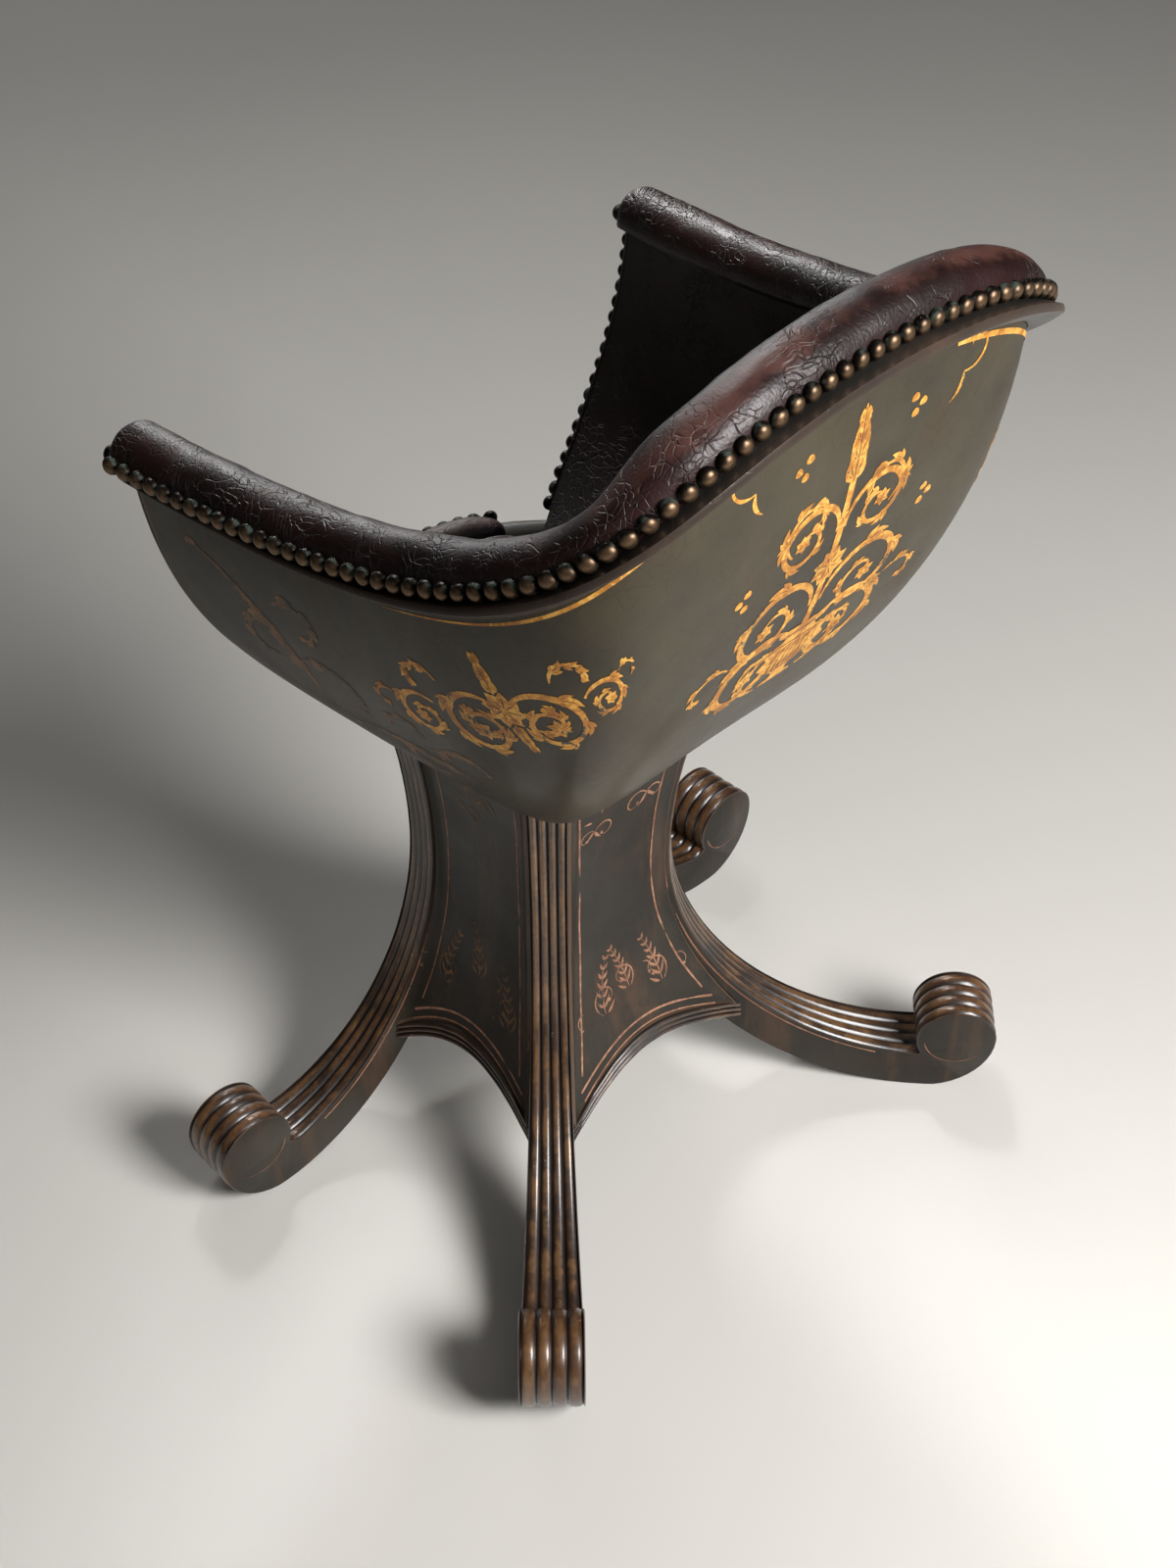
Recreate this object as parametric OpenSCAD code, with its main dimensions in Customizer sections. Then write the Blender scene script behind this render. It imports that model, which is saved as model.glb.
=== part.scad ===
// Gondola chair: a lacquered bowl seat with a padded leather rim, on a waisted four-sided column
// whose four corner ribs run down into sabre legs with scroll feet.
// Millimetres, +Z up, the sitter faces -Y and sits with the left hand at +X.
// The origin is on the floor, in the middle of the chair's width and depth.

/* [Rim] */
// Half width of the rim at the arm tips
tip_x = 224; // [200:1:250]
// Reach of the arm tips in front of the column's axis
tip_y = 118; // [90:1:140]
// Height of the rim at the arm tips
tip_z = 594; // [560:1:620]
// How much the arms draw in on their way back
arm_taper = 33; // [20:1:45]
// How much the arms climb on their way back
arm_lift = 9; // [0:1:25]
// Pull of the straight arms on the rim's curve
arm_pull = 381; // [340:1:400]
// Pull of the straight back on the rim's curve
back_pull = 221; // [180:1:240]
// Reach of the rim behind the column's axis
back_y = 250; // [220:1:280]
// Height of the rim at the back
back_z = 739; // [690:1:790]

/* [Shell] */
// Thickness of the moulded seat shell
shell_t = 10; // [7:0.5:14]
// How far the shell stands inside the line of nails
shell_in = 7; // [4:0.5:12]
// Fullness of the belly, higher is leaner
belly = 1.35; // [1.1:0.05:1.8]
// Half width of the shell's foot on the column
foot_x = 76; // [66:1:86]
// Half depth of the shell's foot on the column
foot_y = 82; // [74:1:92]
// How far the shell's front edge stands behind the arm tips
front_set = 8; // [6:1:14]
// Fullness of the arms' front edges, higher is leaner
arm_lean = 0.38; // [0.34:0.02:0.46]
// How far those edges bulge forward half way down
arm_fore = 12; // [8:1:15]
// Thickness of the leather padding on the inside wall
lining_t = 12; // [8:0.5:16]

/* [Seat] */
// Height of the shell's front edge in the middle of the seat
front_z = 390.5; // [387:0.5:393]
// How far the front edge bows forward
front_bow = 48; // [42:1:54]
// Thickness of the plywood seat board
board_t = 10; // [8:0.5:11]
// Thickness of the seat pad at its edge
pad_edge = 16; // [10:1:22]
// Crown of the seat pad over its edge
pad_crown = 15; // [8:1:22]

/* [Leather roll] */
// Width of the padded roll on the rim
roll_w = 40; // [36:1:44]
// Height of the padded roll over its seat
roll_h = 24; // [20:1:28]
// Height of the moulding under the nails, at the back
lip_h = 17; // [12:1:24]
// Reach of the moulding past the nails, at the back
lip_out = 13; // [6:1:20]

/* [Nails] */
// Diameter of a nail head
nail_d = 11.2; // [9:0.1:11.4]
// Height of a nail head
nail_h = 4.5; // [3:0.25:5.5]
// Spacing of the nails
nail_pitch = 11.5; // [11.5:0.1:14]

/* [Column] */
// Height of the column's top
column_z = 363; // [340:1:390]
// Height of the column's waist
waist_z = 235; // [215:1:255]
// Thickness of the four panels
panel_t = 9; // [6:0.5:11]
// Height at which the arches meet the legs
arch_z = 80; // [74:1:92]
// Rise of the arches between the legs
arch_rise = 24; // [14:1:34]
// Height of the reeded moulding under each panel
arch_h = 15; // [10:1:18]
// How far that moulding stands out of the panel
arch_out = 4; // [2:0.5:6]
// Thickness of the plate on top of the column
plate_t = 10; // [8:0.5:11]
// Height of the cross brace inside the column
brace_z = 185; // [160:1:230]
// Thickness of that cross brace
brace_t = 14; // [10:1:20]

/* [Legs] */
// Direction of the back legs, from straight sideways
back_turn = 46.5; // [40:0.5:55]
// Direction of the front legs, from straight sideways
front_turn = -2; // [-8:0.5:4]
// How far the front legs stand in front of the axis
front_off = 60; // [54:1:66]
// Distance from the axis to a back rib's face at the waist
back_waist = 86; // [80:1:92]
// Distance from the middle to a front rib's face at the waist
front_waist = 66; // [62:1:72]
// Reach of a back leg to its scroll's middle
back_reach = 306; // [280:1:330]
// Reach of a front leg to its scroll's middle
front_reach = 245; // [225:1:270]
// Depth of a rib, from its face to its back
rib_t = 28; // [24:1:32]
// Width of a rib
rib_w = 26; // [22:1:28]
// Width of a foot
foot_w = 44; // [38:1:48]
// Radius of the scroll's round cheek
scroll_r = 30; // [26:1:33]
// Height of the scroll's middle
scroll_z = 52; // [48:1:56]
// Depth of the flat worn under each foot
worn = 0.6; // [0.4:0.1:1.5]

/* [Screws] */
// Diameter of a wood screw's shank
screw_d = 4.5; // [3.5:0.5:5]
// Diameter of its head
screw_head = 9; // [8:0.5:10]
// Length of a wood screw
screw_l = 17; // [14:1:19]

/* [Hidden] */

gap = 0.3;        // clearance between soft pieces and their neighbours
fit = 0.1;        // clearance between wooden pieces
shell_drop = 6;                 // the shell's top under the line of nails
seat_drop = shell_drop - gap;   // the roll's underside under the line of nails
roll_end = 12;                  // round end of the roll in front of the arm tips
front_roll_w = 28;              // width and height of the roll on the front edge
front_roll_h = 15;
binding_t = 4;                  // leather bound over the front edges of the arms
fill_low = 0.3;                 // share of the wall down to which the lining thickens under the roll
seat_fill = 10;                 // how much the lining thickens again towards the seat
seat_fill_from = 0.4;
board_back = 11;                // the seat board behind the apron
front_nail_up = 4;              // the front nails over the front edge
nail_out = 2;                   // the nails' backs outside the rim line
tip_nail_turns = [52:38:128];   // nails round the end of an arm
front_nail_out = 2;             // the front nails' backs in front of the front edge
arm_hold = 0.5;                // how long an arm's front edge keeps its reach on the way down
arm_from = 0.9;                 // share of the half rim where the arms' front edges begin
front_power = 2.5;                // squareness of the seat's front edge
lacquer = "#23231d";
bronze = "#7a6a45";
leather = "#3a1d1a";
reed = "#4a3222";
timber = "#8a6b45";

// Rim line: one cubic curve from the left arm tip to the middle of the back
rim_ends = [[tip_x, -tip_y, tip_z],
            [tip_x - arm_taper, arm_pull - tip_y, tip_z + arm_lift],
            [back_pull, back_y, back_z],
            [0, back_y, back_z]];
rim_steps = 48;
function cubic(p, t) = p[0]*pow(1 - t, 3) + p[1]*3*t*pow(1 - t, 2) + p[2]*3*t*t*(1 - t) + p[3]*pow(t, 3);
half_rim = [for (i = [0:rim_steps]) cubic(rim_ends, i/rim_steps)];
run = [for (i = 0, s = 0; i <= rim_steps;
            s = s + (i < rim_steps ? norm(half_rim[i + 1] - half_rim[i]) : 0), i = i + 1) s];
rim_l = run[rim_steps];
run_to_t = [for (i = [0:rim_steps]) [run[i], i/rim_steps]];
// Point of the rim at the distance s from the middle of the back, to the left when s is positive
function rim(s) = let(p = cubic(rim_ends, lookup(rim_l - abs(s), run_to_t))) [sign(s)*p.x, p.y, p.z];
// Direction along the rim, and the level direction that points out of the chair
function along(s) = let(e = 1.5, m = max(e - rim_l, min(rim_l - e, s)), d = rim(m + e) - rim(m - e)) d/norm(d);
function out(s) = let(d = along(s), n = norm([d.x, d.y])) [-d.y, d.x, 0]/n;

// Shell surface: u runs from -1 at the right arm to 1 at the left, v from 0 at the rim to 1 at the foot
foot_turns = [[0, -45], [0.34, 0], [0.64, 45], [1, 90]];
function foot(u, inset) =
    let(w = lookup(1 - abs(u), foot_turns), c = cos(w), s = sin(w),
        k = pow(pow(abs(c), 9) + pow(abs(s), 9), -1/9))
    [(u < 0 ? -1 : 1)*(foot_x - inset)*c*k, (foot_y - inset)*s*k,
     column_z + min(inset, shell_t + gap + lining_t)];
function shell_top(u, inset) =
    let(s = u*(rim_l - front_set)) rim(s) - out(s)*(shell_in + inset) - [0, 0, shell_drop];
function at_front(u) = let(t = max(0, (abs(u) - arm_from)/(1 - arm_from))) t*t*(3 - 2*t);
function wall(u, v, inset) =
    let(r = shell_top(u, inset), f = foot(u, inset), s = sin(90*v), c = max(0, cos(90*v)),
        k = at_front(u), h = k/2, cx = (1 - h)*pow(c, belly) + h*pow(max(0, 1 - s), arm_lean),
        cy = (1 - k)*pow(c, belly) + k*pow(c, arm_hold))
    [f.x + (r.x - f.x)*cx, f.y + (r.y - f.y)*cy - k*arm_fore*sin(180*v), r.z + (f.z - r.z)*s];
// Inset of the lining's inner face, flush with the roll at the top and thicker low down at the arms' front
function lined(u, v) =
    let(base = shell_t + gap + lining_t)
    base + (roll_w - 3 - shell_in - base)*pow(max(0, 1 - v/fill_low), 2)
    + seat_fill*at_front(u)*pow(max(0, (sin(90*v) - seat_fill_from)/(1 - seat_fill_from)), 1.5);
// The v at which the wall under u comes down to the height z
function level(u, z, inset) =
    let(r = shell_top(u, inset), f = foot(u, inset)) asin(max(0, min(1, (r.z - z)/(r.z - f.z))))/90;

// Corner ribs and legs, in the upright plane of each leg: s is the reach and z the height
leg_low = scroll_z - 17;
function leg_face(z, waist, reach) =
    z >= waist_z ? waist + 0.00116*pow(z - waist_z, 2)
    : let(h = min(1, (waist_z - z)/(waist_z - leg_low))) waist + (reach - 16 - waist)*(1 - sqrt(1 - h*h));
function leg_back(z, waist, reach) =
    z >= waist_z ? leg_face(z, waist, reach) - rib_t
    : let(h = min(1, (waist_z - z)/waist_z)) waist - rib_t + (reach - 21 - waist + rib_t)*(1 - sqrt(1 - h*h));
function leg_half(s, waist, reach) =
    rib_w/2 + (foot_w - rib_w)/2*max(0, min(1, (s - waist)/(reach - 20 - waist)));
function turn(a) = [cos(a), sin(a), 0];
// Where a panel's face meets a rib, and where the panel's back does
function panel_reach(z, waist, reach) =
    z >= waist_z ? leg_face(z, waist, reach) - 6
    : waist - 6 + (reach/6 + 7)*pow((waist_z - z)/(waist_z - arch_z), 2.2);
function rib_point(z, side, deep, back) =
    let(waist = back ? back_waist : front_waist, reach = back ? back_reach : front_reach,
        a = back ? back_turn : front_turn, e = turn(a), n = turn(a + 90),
        s = panel_reach(z, waist, reach) - deep)
    (back ? [0, 0, 0] : [0, -front_off, 0]) + e*s + n*side*(leg_half(s, waist, reach) + fit) + [0, 0, z];
function mirror_x(p) = [-p.x, p.y, p.z];
function arch_line(u) = arch_z + arch_rise*4*u*(1 - u);

// Everything is built about the column's axis, then set so that the origin is in the middle
module set_down() { translate([0, -middle_y, 0]) children(); }

// Closed slab between two grids of points with the same rows and columns
module slab(face, back) {
    m = len(face);
    n = len(face[0]);
    o = m*n;
    points = concat([for (r = face) each r], [for (r = back) each r]);
    function at(i, j) = i*n + j;
    polyhedron(points, concat(
        [for (i = [0:m - 2], j = [0:n - 2]) each
            [[at(i, j), at(i, j + 1), at(i + 1, j)], [at(i + 1, j), at(i, j + 1), at(i + 1, j + 1)]]],
        [for (i = [0:m - 2], j = [0:n - 2]) each
            [[o + at(i, j), o + at(i + 1, j), o + at(i, j + 1)],
             [o + at(i + 1, j), o + at(i + 1, j + 1), o + at(i, j + 1)]]],
        [for (i = [0:m - 2]) each
            [[at(i, 0), at(i + 1, 0), o + at(i, 0)], [at(i + 1, 0), o + at(i + 1, 0), o + at(i, 0)],
             [at(i, n - 1), o + at(i, n - 1), at(i + 1, n - 1)],
             [at(i + 1, n - 1), o + at(i, n - 1), o + at(i + 1, n - 1)]]],
        [for (j = [0:n - 2]) each
            [[at(0, j), o + at(0, j), at(0, j + 1)], [at(0, j + 1), o + at(0, j), o + at(0, j + 1)],
             [at(m - 1, j), at(m - 1, j + 1), o + at(m - 1, j)],
             [at(m - 1, j + 1), o + at(m - 1, j + 1), o + at(m - 1, j)]]]));
}

// Closed tube through rings of points that all turn the same way
module tube(rings) {
    m = len(rings);
    n = len(rings[0]);
    ends = [for (r = [rings[0], rings[m - 1]]) [for (k = [0:2]) [for (p = r) p[k]]*[for (p = r) 1]/n]];
    polyhedron(concat([for (r = rings) each r], ends), concat(
        [for (i = [0:m - 2], j = [0:n - 1]) let(q = (j + 1)%n) each
            [[i*n + j, (i + 1)*n + j, i*n + q], [(i + 1)*n + j, (i + 1)*n + q, i*n + q]]],
        [for (j = [0:n - 1]) let(q = (j + 1)%n) each [[m*n, j, q], [m*n + 1, (m - 1)*n + q, (m - 1)*n + j]]]));
}

// Legs
module leg_outline(waist, reach) {
    z_steps = 18;
    top = column_z + worn;
    rise = (top - waist_z)/8;
    scroll = [reach, scroll_z];
    toe = reach - 21;
    face = [for (i = [0:8]) let(z = top - rise*i) [leg_face(z, waist, reach), z]];
    face_low = [for (i = [1:z_steps]) let(z = waist_z - (waist_z - leg_low)*sin(90*i/z_steps),
                p = [leg_face(z, waist, reach), z]) if (norm(p - scroll) > scroll_r + 1) p];
    crease = face_low[len(face_low) - 1] - scroll;
    entry = (atan2(crease.y, crease.x) + 358)%360;
    low = [for (i = [z_steps - 1:-1:1]) let(z = waist_z*(1 - sin(90*i/z_steps)))
           [leg_back(z, waist, reach), z]];
    back = [for (i = [8:-1:0]) let(z = top - rise*i) [leg_back(z, waist, reach), z]];
    polygon(concat(face, face_low,
                   [for (i = [0:20]) let(a = entry*(1 - i/20)) scroll + scroll_r*[cos(a), sin(a)]],
                   [for (a = [75:-15:0]) [toe + (reach + scroll_r - toe)*sin(a), scroll_z*(1 - cos(a))]],
                   low, back));
}

module leg(waist, reach) {
    intersection() {
        rotate([90, 0, 0]) linear_extrude(foot_w + 4, center = true) difference() {
            translate([0, -worn]) leg_outline(waist, reach);
            translate([0, -10]) square([reach + 100, 10]);
        }
        linear_extrude(column_z + 1) polygon([
            [0, -rib_w/2], [waist, -rib_w/2], [reach - 20, -foot_w/2], [reach + 60, -foot_w/2],
            [reach + 60, foot_w/2], [reach - 20, foot_w/2], [waist, rib_w/2], [0, rib_w/2]]);
    }
}
module back_leg() { rotate([0, 0, back_turn]) leg(back_waist, back_reach); }
module front_leg() { translate([0, -front_off, 0]) rotate([0, 0, front_turn]) leg(front_waist, front_reach); }
module back_left_leg() { color(reed) set_down() back_leg(); }
module back_right_leg() { color(reed) set_down() mirror([1, 0, 0]) back_leg(); }
module front_left_leg() { color(reed) set_down() front_leg(); }
module front_right_leg() { color(reed) set_down() mirror([1, 0, 0]) front_leg(); }

// Panels: kind 0 is the back, 1 the left side and 2 the front
function panel_ends(kind, z, deep) =
    kind == 0 ? [mirror_x(rib_point(z, 1, deep, true)), rib_point(z, 1, deep, true)]
    : kind == 1 ? [rib_point(z, -1, deep, true), rib_point(z, 1, deep, false)]
    : let(x = min(leg_back(z, front_waist, front_reach), front_waist + 45) - 1,
          y = -front_off + deep/2 - rib_w/2 + 4)
      [[x, y - x*tan(-front_turn), z], [-x, y - x*tan(-front_turn), z]];
function panel_point(kind, u, z, deep) =
    let(e = panel_ends(kind, z, deep*1.4)) e[0] + (e[1] - e[0])*u;
module panel(kind) {
    cols = 14;
    rows = 12;
    function grid(deep) = [for (j = [0:rows]) [for (i = [0:cols])
        let(u = i/cols, low = arch_line(u), z = low + (column_z - low)*pow(j/rows, 1.25))
        panel_point(kind, u, z, deep)]];
    slab(grid(0), grid(panel_t));
}
module arch(kind) {
    cols = 14;
    function row(deep, z_up) = [for (i = [0:cols]) let(u = i/cols, z = arch_line(u))
        panel_point(kind, u, z, deep) - [0, 0, z_up]];
    slab([row(0.5 - arch_out*0.5, arch_h), row(-arch_out, arch_h*0.6), row(-arch_out*0.7, fit)],
         [row(panel_t, arch_h), row(panel_t, arch_h*0.6), row(panel_t, fit)]);
}
module back_panel() { color(lacquer) set_down() panel(0); }
module left_panel() { color(lacquer) set_down() panel(1); }
module right_panel() { color(lacquer) set_down() mirror([1, 0, 0]) panel(1); }
module front_panel() { color(lacquer) set_down() panel(2); }
module back_arch() { color(reed) set_down() arch(0); }
module left_arch() { color(reed) set_down() arch(1); }
module right_arch() { color(reed) set_down() mirror([1, 0, 0]) arch(1); }
module front_arch() { color(reed) set_down() arch(2); }

// Inside the column and under the seat
board_low = column_z + plate_t;
board_top = board_low + board_t;
screw_x = foot_x/2;
screw_y = foot_y/2;
module at_screws() { for (sx = [-1, 1], sy = [-1, 1]) translate([sx*screw_x, sy*screw_y, 0]) children(); }
module column_top_plate() {
    x = foot_x - shell_t - gap;
    y = foot_y - shell_t - gap;
    front = foot(1, 0).y + shell_t + gap;
    round = 12;
    color(timber) set_down() difference() {
        translate([0, 0, column_z]) linear_extrude(plate_t) offset(r = round, $fn = 48) offset(delta = -round)
            polygon([[-x, front], [x, front], [x, y], [-x, y]]);
        at_screws() translate([0, 0, column_z - 1]) cylinder(d = screw_d + 2*fit, h = plate_t + 2, $fn = 32);
    }
}
module board_screws() {
    color("silver") set_down() at_screws() translate([0, 0, board_top - screw_l]) {
        cylinder(d = screw_d, h = screw_l, $fn = 32);
        translate([0, 0, screw_l - screw_d/2])
            cylinder(d1 = screw_d, d2 = screw_head, h = screw_d/2, $fn = 32);
    }
}
module column_brace() {
    z = brace_z + brace_t;
    rib = leg_back(z, back_waist, back_reach) - 2*fit;
    half = rib*0.79;
    front_x = leg_back(z, front_waist, front_reach) - 2*fit;
    front_y = front_off + rib_w/2 - 4 - panel_t*0.7 - fit;
    shoulder = front_off - rib_w/2 - 3;
    cut_x = (rib - half*sin(back_turn))/cos(back_turn);
    cut_y = (rib - half*cos(back_turn))/sin(back_turn);
    side = [[front_x, -front_y], [front_x, -shoulder], [half, -shoulder], [half, cut_y], [cut_x, half]];
    color(timber) set_down() translate([0, 0, brace_z]) linear_extrude(brace_t)
        polygon(concat(side, [for (i = [4:-1:0]) [-side[i].x, side[i].y]]));
}

// Front of the bowl, between the two front edges of the shell: w runs from 0 at its top to 1 at its foot
apron_top = level(1, front_z, 0);
function apron_v(w) = apron_top + (1 - apron_top)*w;
function apron_bow(w) = front_bow*pow(1 - w, 1.5);
function apron_x(v) =
    let(z = wall(1, v, shell_t).z)
    min([for (u = [0.92:0.02:1]) wall(u, level(u, z, shell_t), shell_t).x]) - 5*fit;
function apron(u, w, deep) =
    let(v = apron_v(w), e = wall(1, v, 0))
    [u*apron_x(v), e.y + deep - apron_bow(w)*(1 - pow(abs(u), front_power)), e.z + deep*sin(90*v)*w];
// Line across the front at the share w of the apron, and the same line's slope
function front_line(x, deep, w = 0) =
    let(e = apron(1, w, deep)) e.y - apron_bow(w)*(1 - pow(abs(x/e.x), front_power));
function front_slope(x) = (front_line(x + 1, 0) - front_line(x - 1, 0))/2;
// The front nails' tips and the moulding at the back bound the chair's depth
middle_y = (back_y + lip_out + front_line(0, 0) - front_nail_out - nail_h)/2;
module front_apron() {
    cols = 8;
    color(lacquer) set_down() slab([for (i = [16:-1:-16]) [for (j = [0:cols]) apron(i/16, j/cols, 0)]],
                        [for (i = [16:-1:-16]) [for (j = [0:cols]) apron(i/16, j/cols, shell_t)]]);
}

// Shell: one moulded wall from arm to arm
shell_cols = 32;
module seat_shell() {
    rows = 11;
    function grid(inset) = [for (i = [-shell_cols:shell_cols]) [for (j = [0:rows])
        wall(i/shell_cols, pow(j/rows, 0.9), inset)]];
    color(lacquer) set_down() slab(grid(0), grid(shell_t));
}
module inner_lining() {
    rows = 7;
    low = board_top + pad_edge*0.6;
    function grid(inset, on) = [for (i = [-shell_cols:shell_cols]) let(u = i/shell_cols) [for (j = [0:rows])
        let(v = level(u, low, inset)*j/rows) wall(u, v, on ? lined(u, v) : inset)]];
    color(leather) set_down() slab(grid(shell_t + gap, false), grid(shell_t + gap + lining_t, true));
}

// Outline inside the wall at the height z, closed by a line behind the front edge, turning leftwards
function bowl_outline(z, inset, deep, w, n, fill = 0) =
    let(cut = max([for (u = [0.5:0.01:1]) let(p = wall(u, level(u, z, inset), inset + fill*at_front(u)))
                   if (p.y > front_line(min(p.x, apron(1, w, deep).x), deep, w) + 1) u]),
        side = [for (i = [n:-1:-n])
                let(u = cut*i/n, p = wall(u, level(u, z, inset), inset + fill*at_front(u))) [p.x, p.y]],
        a = side[0].x)
    concat(side, [for (i = [8:-1:-8]) let(x = -a*i/8*0.97) [x, front_line(x, deep, w)]]);
module seat_board() {
    w = (level(1, board_low, 0) - apron_top)/(1 - apron_top);
    color(timber) set_down() difference() {
        translate([0, 0, board_low]) linear_extrude(board_t)
            polygon(bowl_outline(board_low, shell_t + fit, shell_t + board_back, w, 20));
        at_screws() translate([0, 0, board_low - 1]) {
            cylinder(d = screw_d + 2*fit, h = board_t + 2, $fn = 32);
            translate([0, 0, board_t + 1 - screw_d/2 - fit])
                cylinder(d1 = screw_d + 2*fit, d2 = screw_head + 4*fit, h = screw_d/2 + 2*fit, $fn = 32);
        }
    }
}
module seat_pad() {
    inset = shell_t + lining_t + 2*gap + 1;
    deep = front_roll_w + gap + 1;
    low = board_top + gap;
    // Each ring's share of the outline at its own height, and that height: the side, then the crown
    function ring(k, z, at) =
        let(edge = bowl_outline(at, inset, deep, 0, 16, seat_fill), mid = (edge[16].y + front_line(0, deep))/2)
        [for (p = edge) [p.x*k, (p.y - mid)*k + mid, z]];
    full = low + pad_edge*0.7;
    side = [for (r = [0, 0.3, 0.7]) ring(1, low + pad_edge*r, low + pad_edge*r)];
    top = [for (k = [0.985, 0.93, 0.82, 0.66, 0.46, 0.24, 0.06])
           ring(k, low + pad_edge + pad_crown*(1 - k*k*k), full)];
    color(leather) set_down() tube(concat(side, top));
}

// Padded roll and its moulding
function stretch(s) = abs(s) <= rim_l ? rim(s) : rim(sign(s)*rim_l) + along(s)*(abs(s) - rim_l)*sign(s);
function round_end(s) = abs(s) <= rim_l ? 1 : sqrt(max(0.03, 1 - pow((abs(s) - rim_l)/roll_end, 2)));
function roll_ring(s) =
    let(k = round_end(s), o = out(s), c = stretch(s) - o*(roll_w/2 - 2) - [0, 0, seat_drop])
    concat([for (a = [0:22.5:180]) c + o*(roll_w/2*k*cos(a)) + [0, 0, roll_h*pow(k, 0.7)*pow(sin(a), 0.8)]],
           [for (x = [-0.6, 0, 0.6]) c + o*(roll_w/2*k*x)]);
module rim_roll() {
    steps = 26;
    ends = [for (k = [0.4, 0.75, 0.93, 1]) rim_l + roll_end*k];
    runs = concat([for (i = [3:-1:0]) -ends[i]], [for (i = [-steps:steps]) rim_l*i/steps], ends);
    color(leather) set_down() tube([for (s = runs) roll_ring(s)]);
}
module rim_moulding() {
    steps = 26;
    w = fit - shell_in;
    function ring(s) =
        let(b = pow(cos(90*abs(s)/rim_l), 1.2), h = 7 + (lip_h - 7)*b, x = 1.5 + (lip_out - 1.5)*b,
            o = out(s), c = rim(s) - [0, 0, shell_drop])
        [for (p = [[w, 0], [w, -h], [w + (x - w)*0.35, -h*0.85], [x - 1, -h*0.5], [x, -h*0.25], [x - 0.5, 0]])
         c + o*p[0] + [0, 0, p[1]]];
    color(lacquer) set_down() tube([for (i = [-steps:steps]) ring((rim_l - front_set)*i/steps)]);
}

// Leather bound over the front edges of the arms, with its nails
function arm_edge(v, inset, fore) = wall(1, v, inset) - [0, fore, 0];
// Half width between the arms' linings at the height of the front roll
arm_v = level(1, front_z + front_roll_h/2, shell_t + gap + lining_t);
front_half = arm_edge(arm_v, lined(1, arm_v), 0).x;
module arm_binding() {
    rows = 12;
    function strip(fore) = [for (j = [0:rows]) [for (k = [0:3])
        let(v = apron_top*j/rows) arm_edge(v, lined(1, v)*k/3, fore)]];
    slab(strip(gap), strip(gap + binding_t));
}
module left_arm_binding() { color(leather) set_down() arm_binding(); }
module right_arm_binding() { color(leather) set_down() mirror([1, 0, 0]) arm_binding(); }
module front_roll() {
    steps = 14;
    half = front_half - 3;
    function ring(x) =
        let(k = sqrt(1 - pow(min(1, abs(x)/half), 10)*0.8), m = front_slope(x)*0.5,
            n = [m, -1, 0]/norm([m, -1]),
            c = [x, front_line(x, 0), front_z + gap] - n*(front_roll_w/2 - 2))
        concat([for (a = [0:22.5:180])
                c + n*front_roll_w/2*k*cos(a) + [0, 0, front_roll_h*k*pow(sin(a), 0.8)]],
               [for (y = [-0.6, 0, 0.6]) c + n*front_roll_w/2*k*y]);
    color(leather) set_down() tube([for (i = [-steps:steps]) ring(-half*sin(90*i/steps))]);
}

// Domed nails
module nail(p, way) {
    translate(p) rotate([0, 90, atan2(way.y, way.x)]) rotate_extrude($fn = 16)
        polygon([[0, 0], [nail_d/2, 0], [nail_d*0.46, nail_h*0.45], [nail_d*0.33, nail_h*0.8],
                 [nail_d*0.16, nail_h*0.97], [0, nail_h]]);
}
module half_rim_nails() {
    count = floor(rim_l/nail_pitch);
    for (i = [1:count]) let(s = rim_l*i/count) nail(rim(s) + out(s)*nail_out, out(s));
    o = out(rim_l);
    a = along(rim_l);
    for (b = tip_nail_turns)
        nail(rim(rim_l) + o*(cos(b)*roll_w/2 - roll_w/2 + nail_out) + a*sin(b)*roll_end,
             o*cos(b)*roll_end + a*sin(b)*roll_w/2);
}
module left_rim_nails() { color(bronze) set_down() half_rim_nails(); }
module right_rim_nails() { color(bronze) set_down() mirror([1, 0, 0]) half_rim_nails(); }
module back_nail() { color(bronze) set_down() nail(rim(0) + out(0)*nail_out, out(0)); }
function steps_of(p) = [for (i = 0, s = 0; i < len(p);
                             s = s + (i < len(p) - 1 ? norm(p[i + 1] - p[i]) : 0), i = i + 1) s];
function evenly(p, first, pitch) =
    let(s = steps_of(p), l = s[len(p) - 1] - first, n = floor(l/pitch))
    [for (i = [0:n]) [for (k = [0:2]) lookup(first + l*i/n, [for (j = [0:len(p) - 1]) [s[j], p[j][k]]])]];
module arm_nails() {
    edge = [for (i = [0:24]) let(v = apron_top*i/24) arm_edge(v, lined(1, v) - nail_d/2, gap + binding_t)];
    for (p = evenly(edge, nail_pitch*0.8, nail_pitch)) nail(p, [0, -1, 0]);
}
module left_arm_nails() { color(bronze) set_down() arm_nails(); }
module right_arm_nails() { color(bronze) set_down() mirror([1, 0, 0]) arm_nails(); }
module front_nails() {
    half = front_half - nail_d/2;
    edge = [for (i = [-20:20]) let(x = half*i/20, m = front_slope(x), n = [m, -1, 0]/norm([m, -1]))
            [x, front_line(x, 0), front_z + front_nail_up] + n*front_nail_out];
    color(bronze) set_down() for (p = evenly(edge, 0, nail_pitch)) nail(p, [front_slope(p.x), -1, 0]);
}

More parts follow.
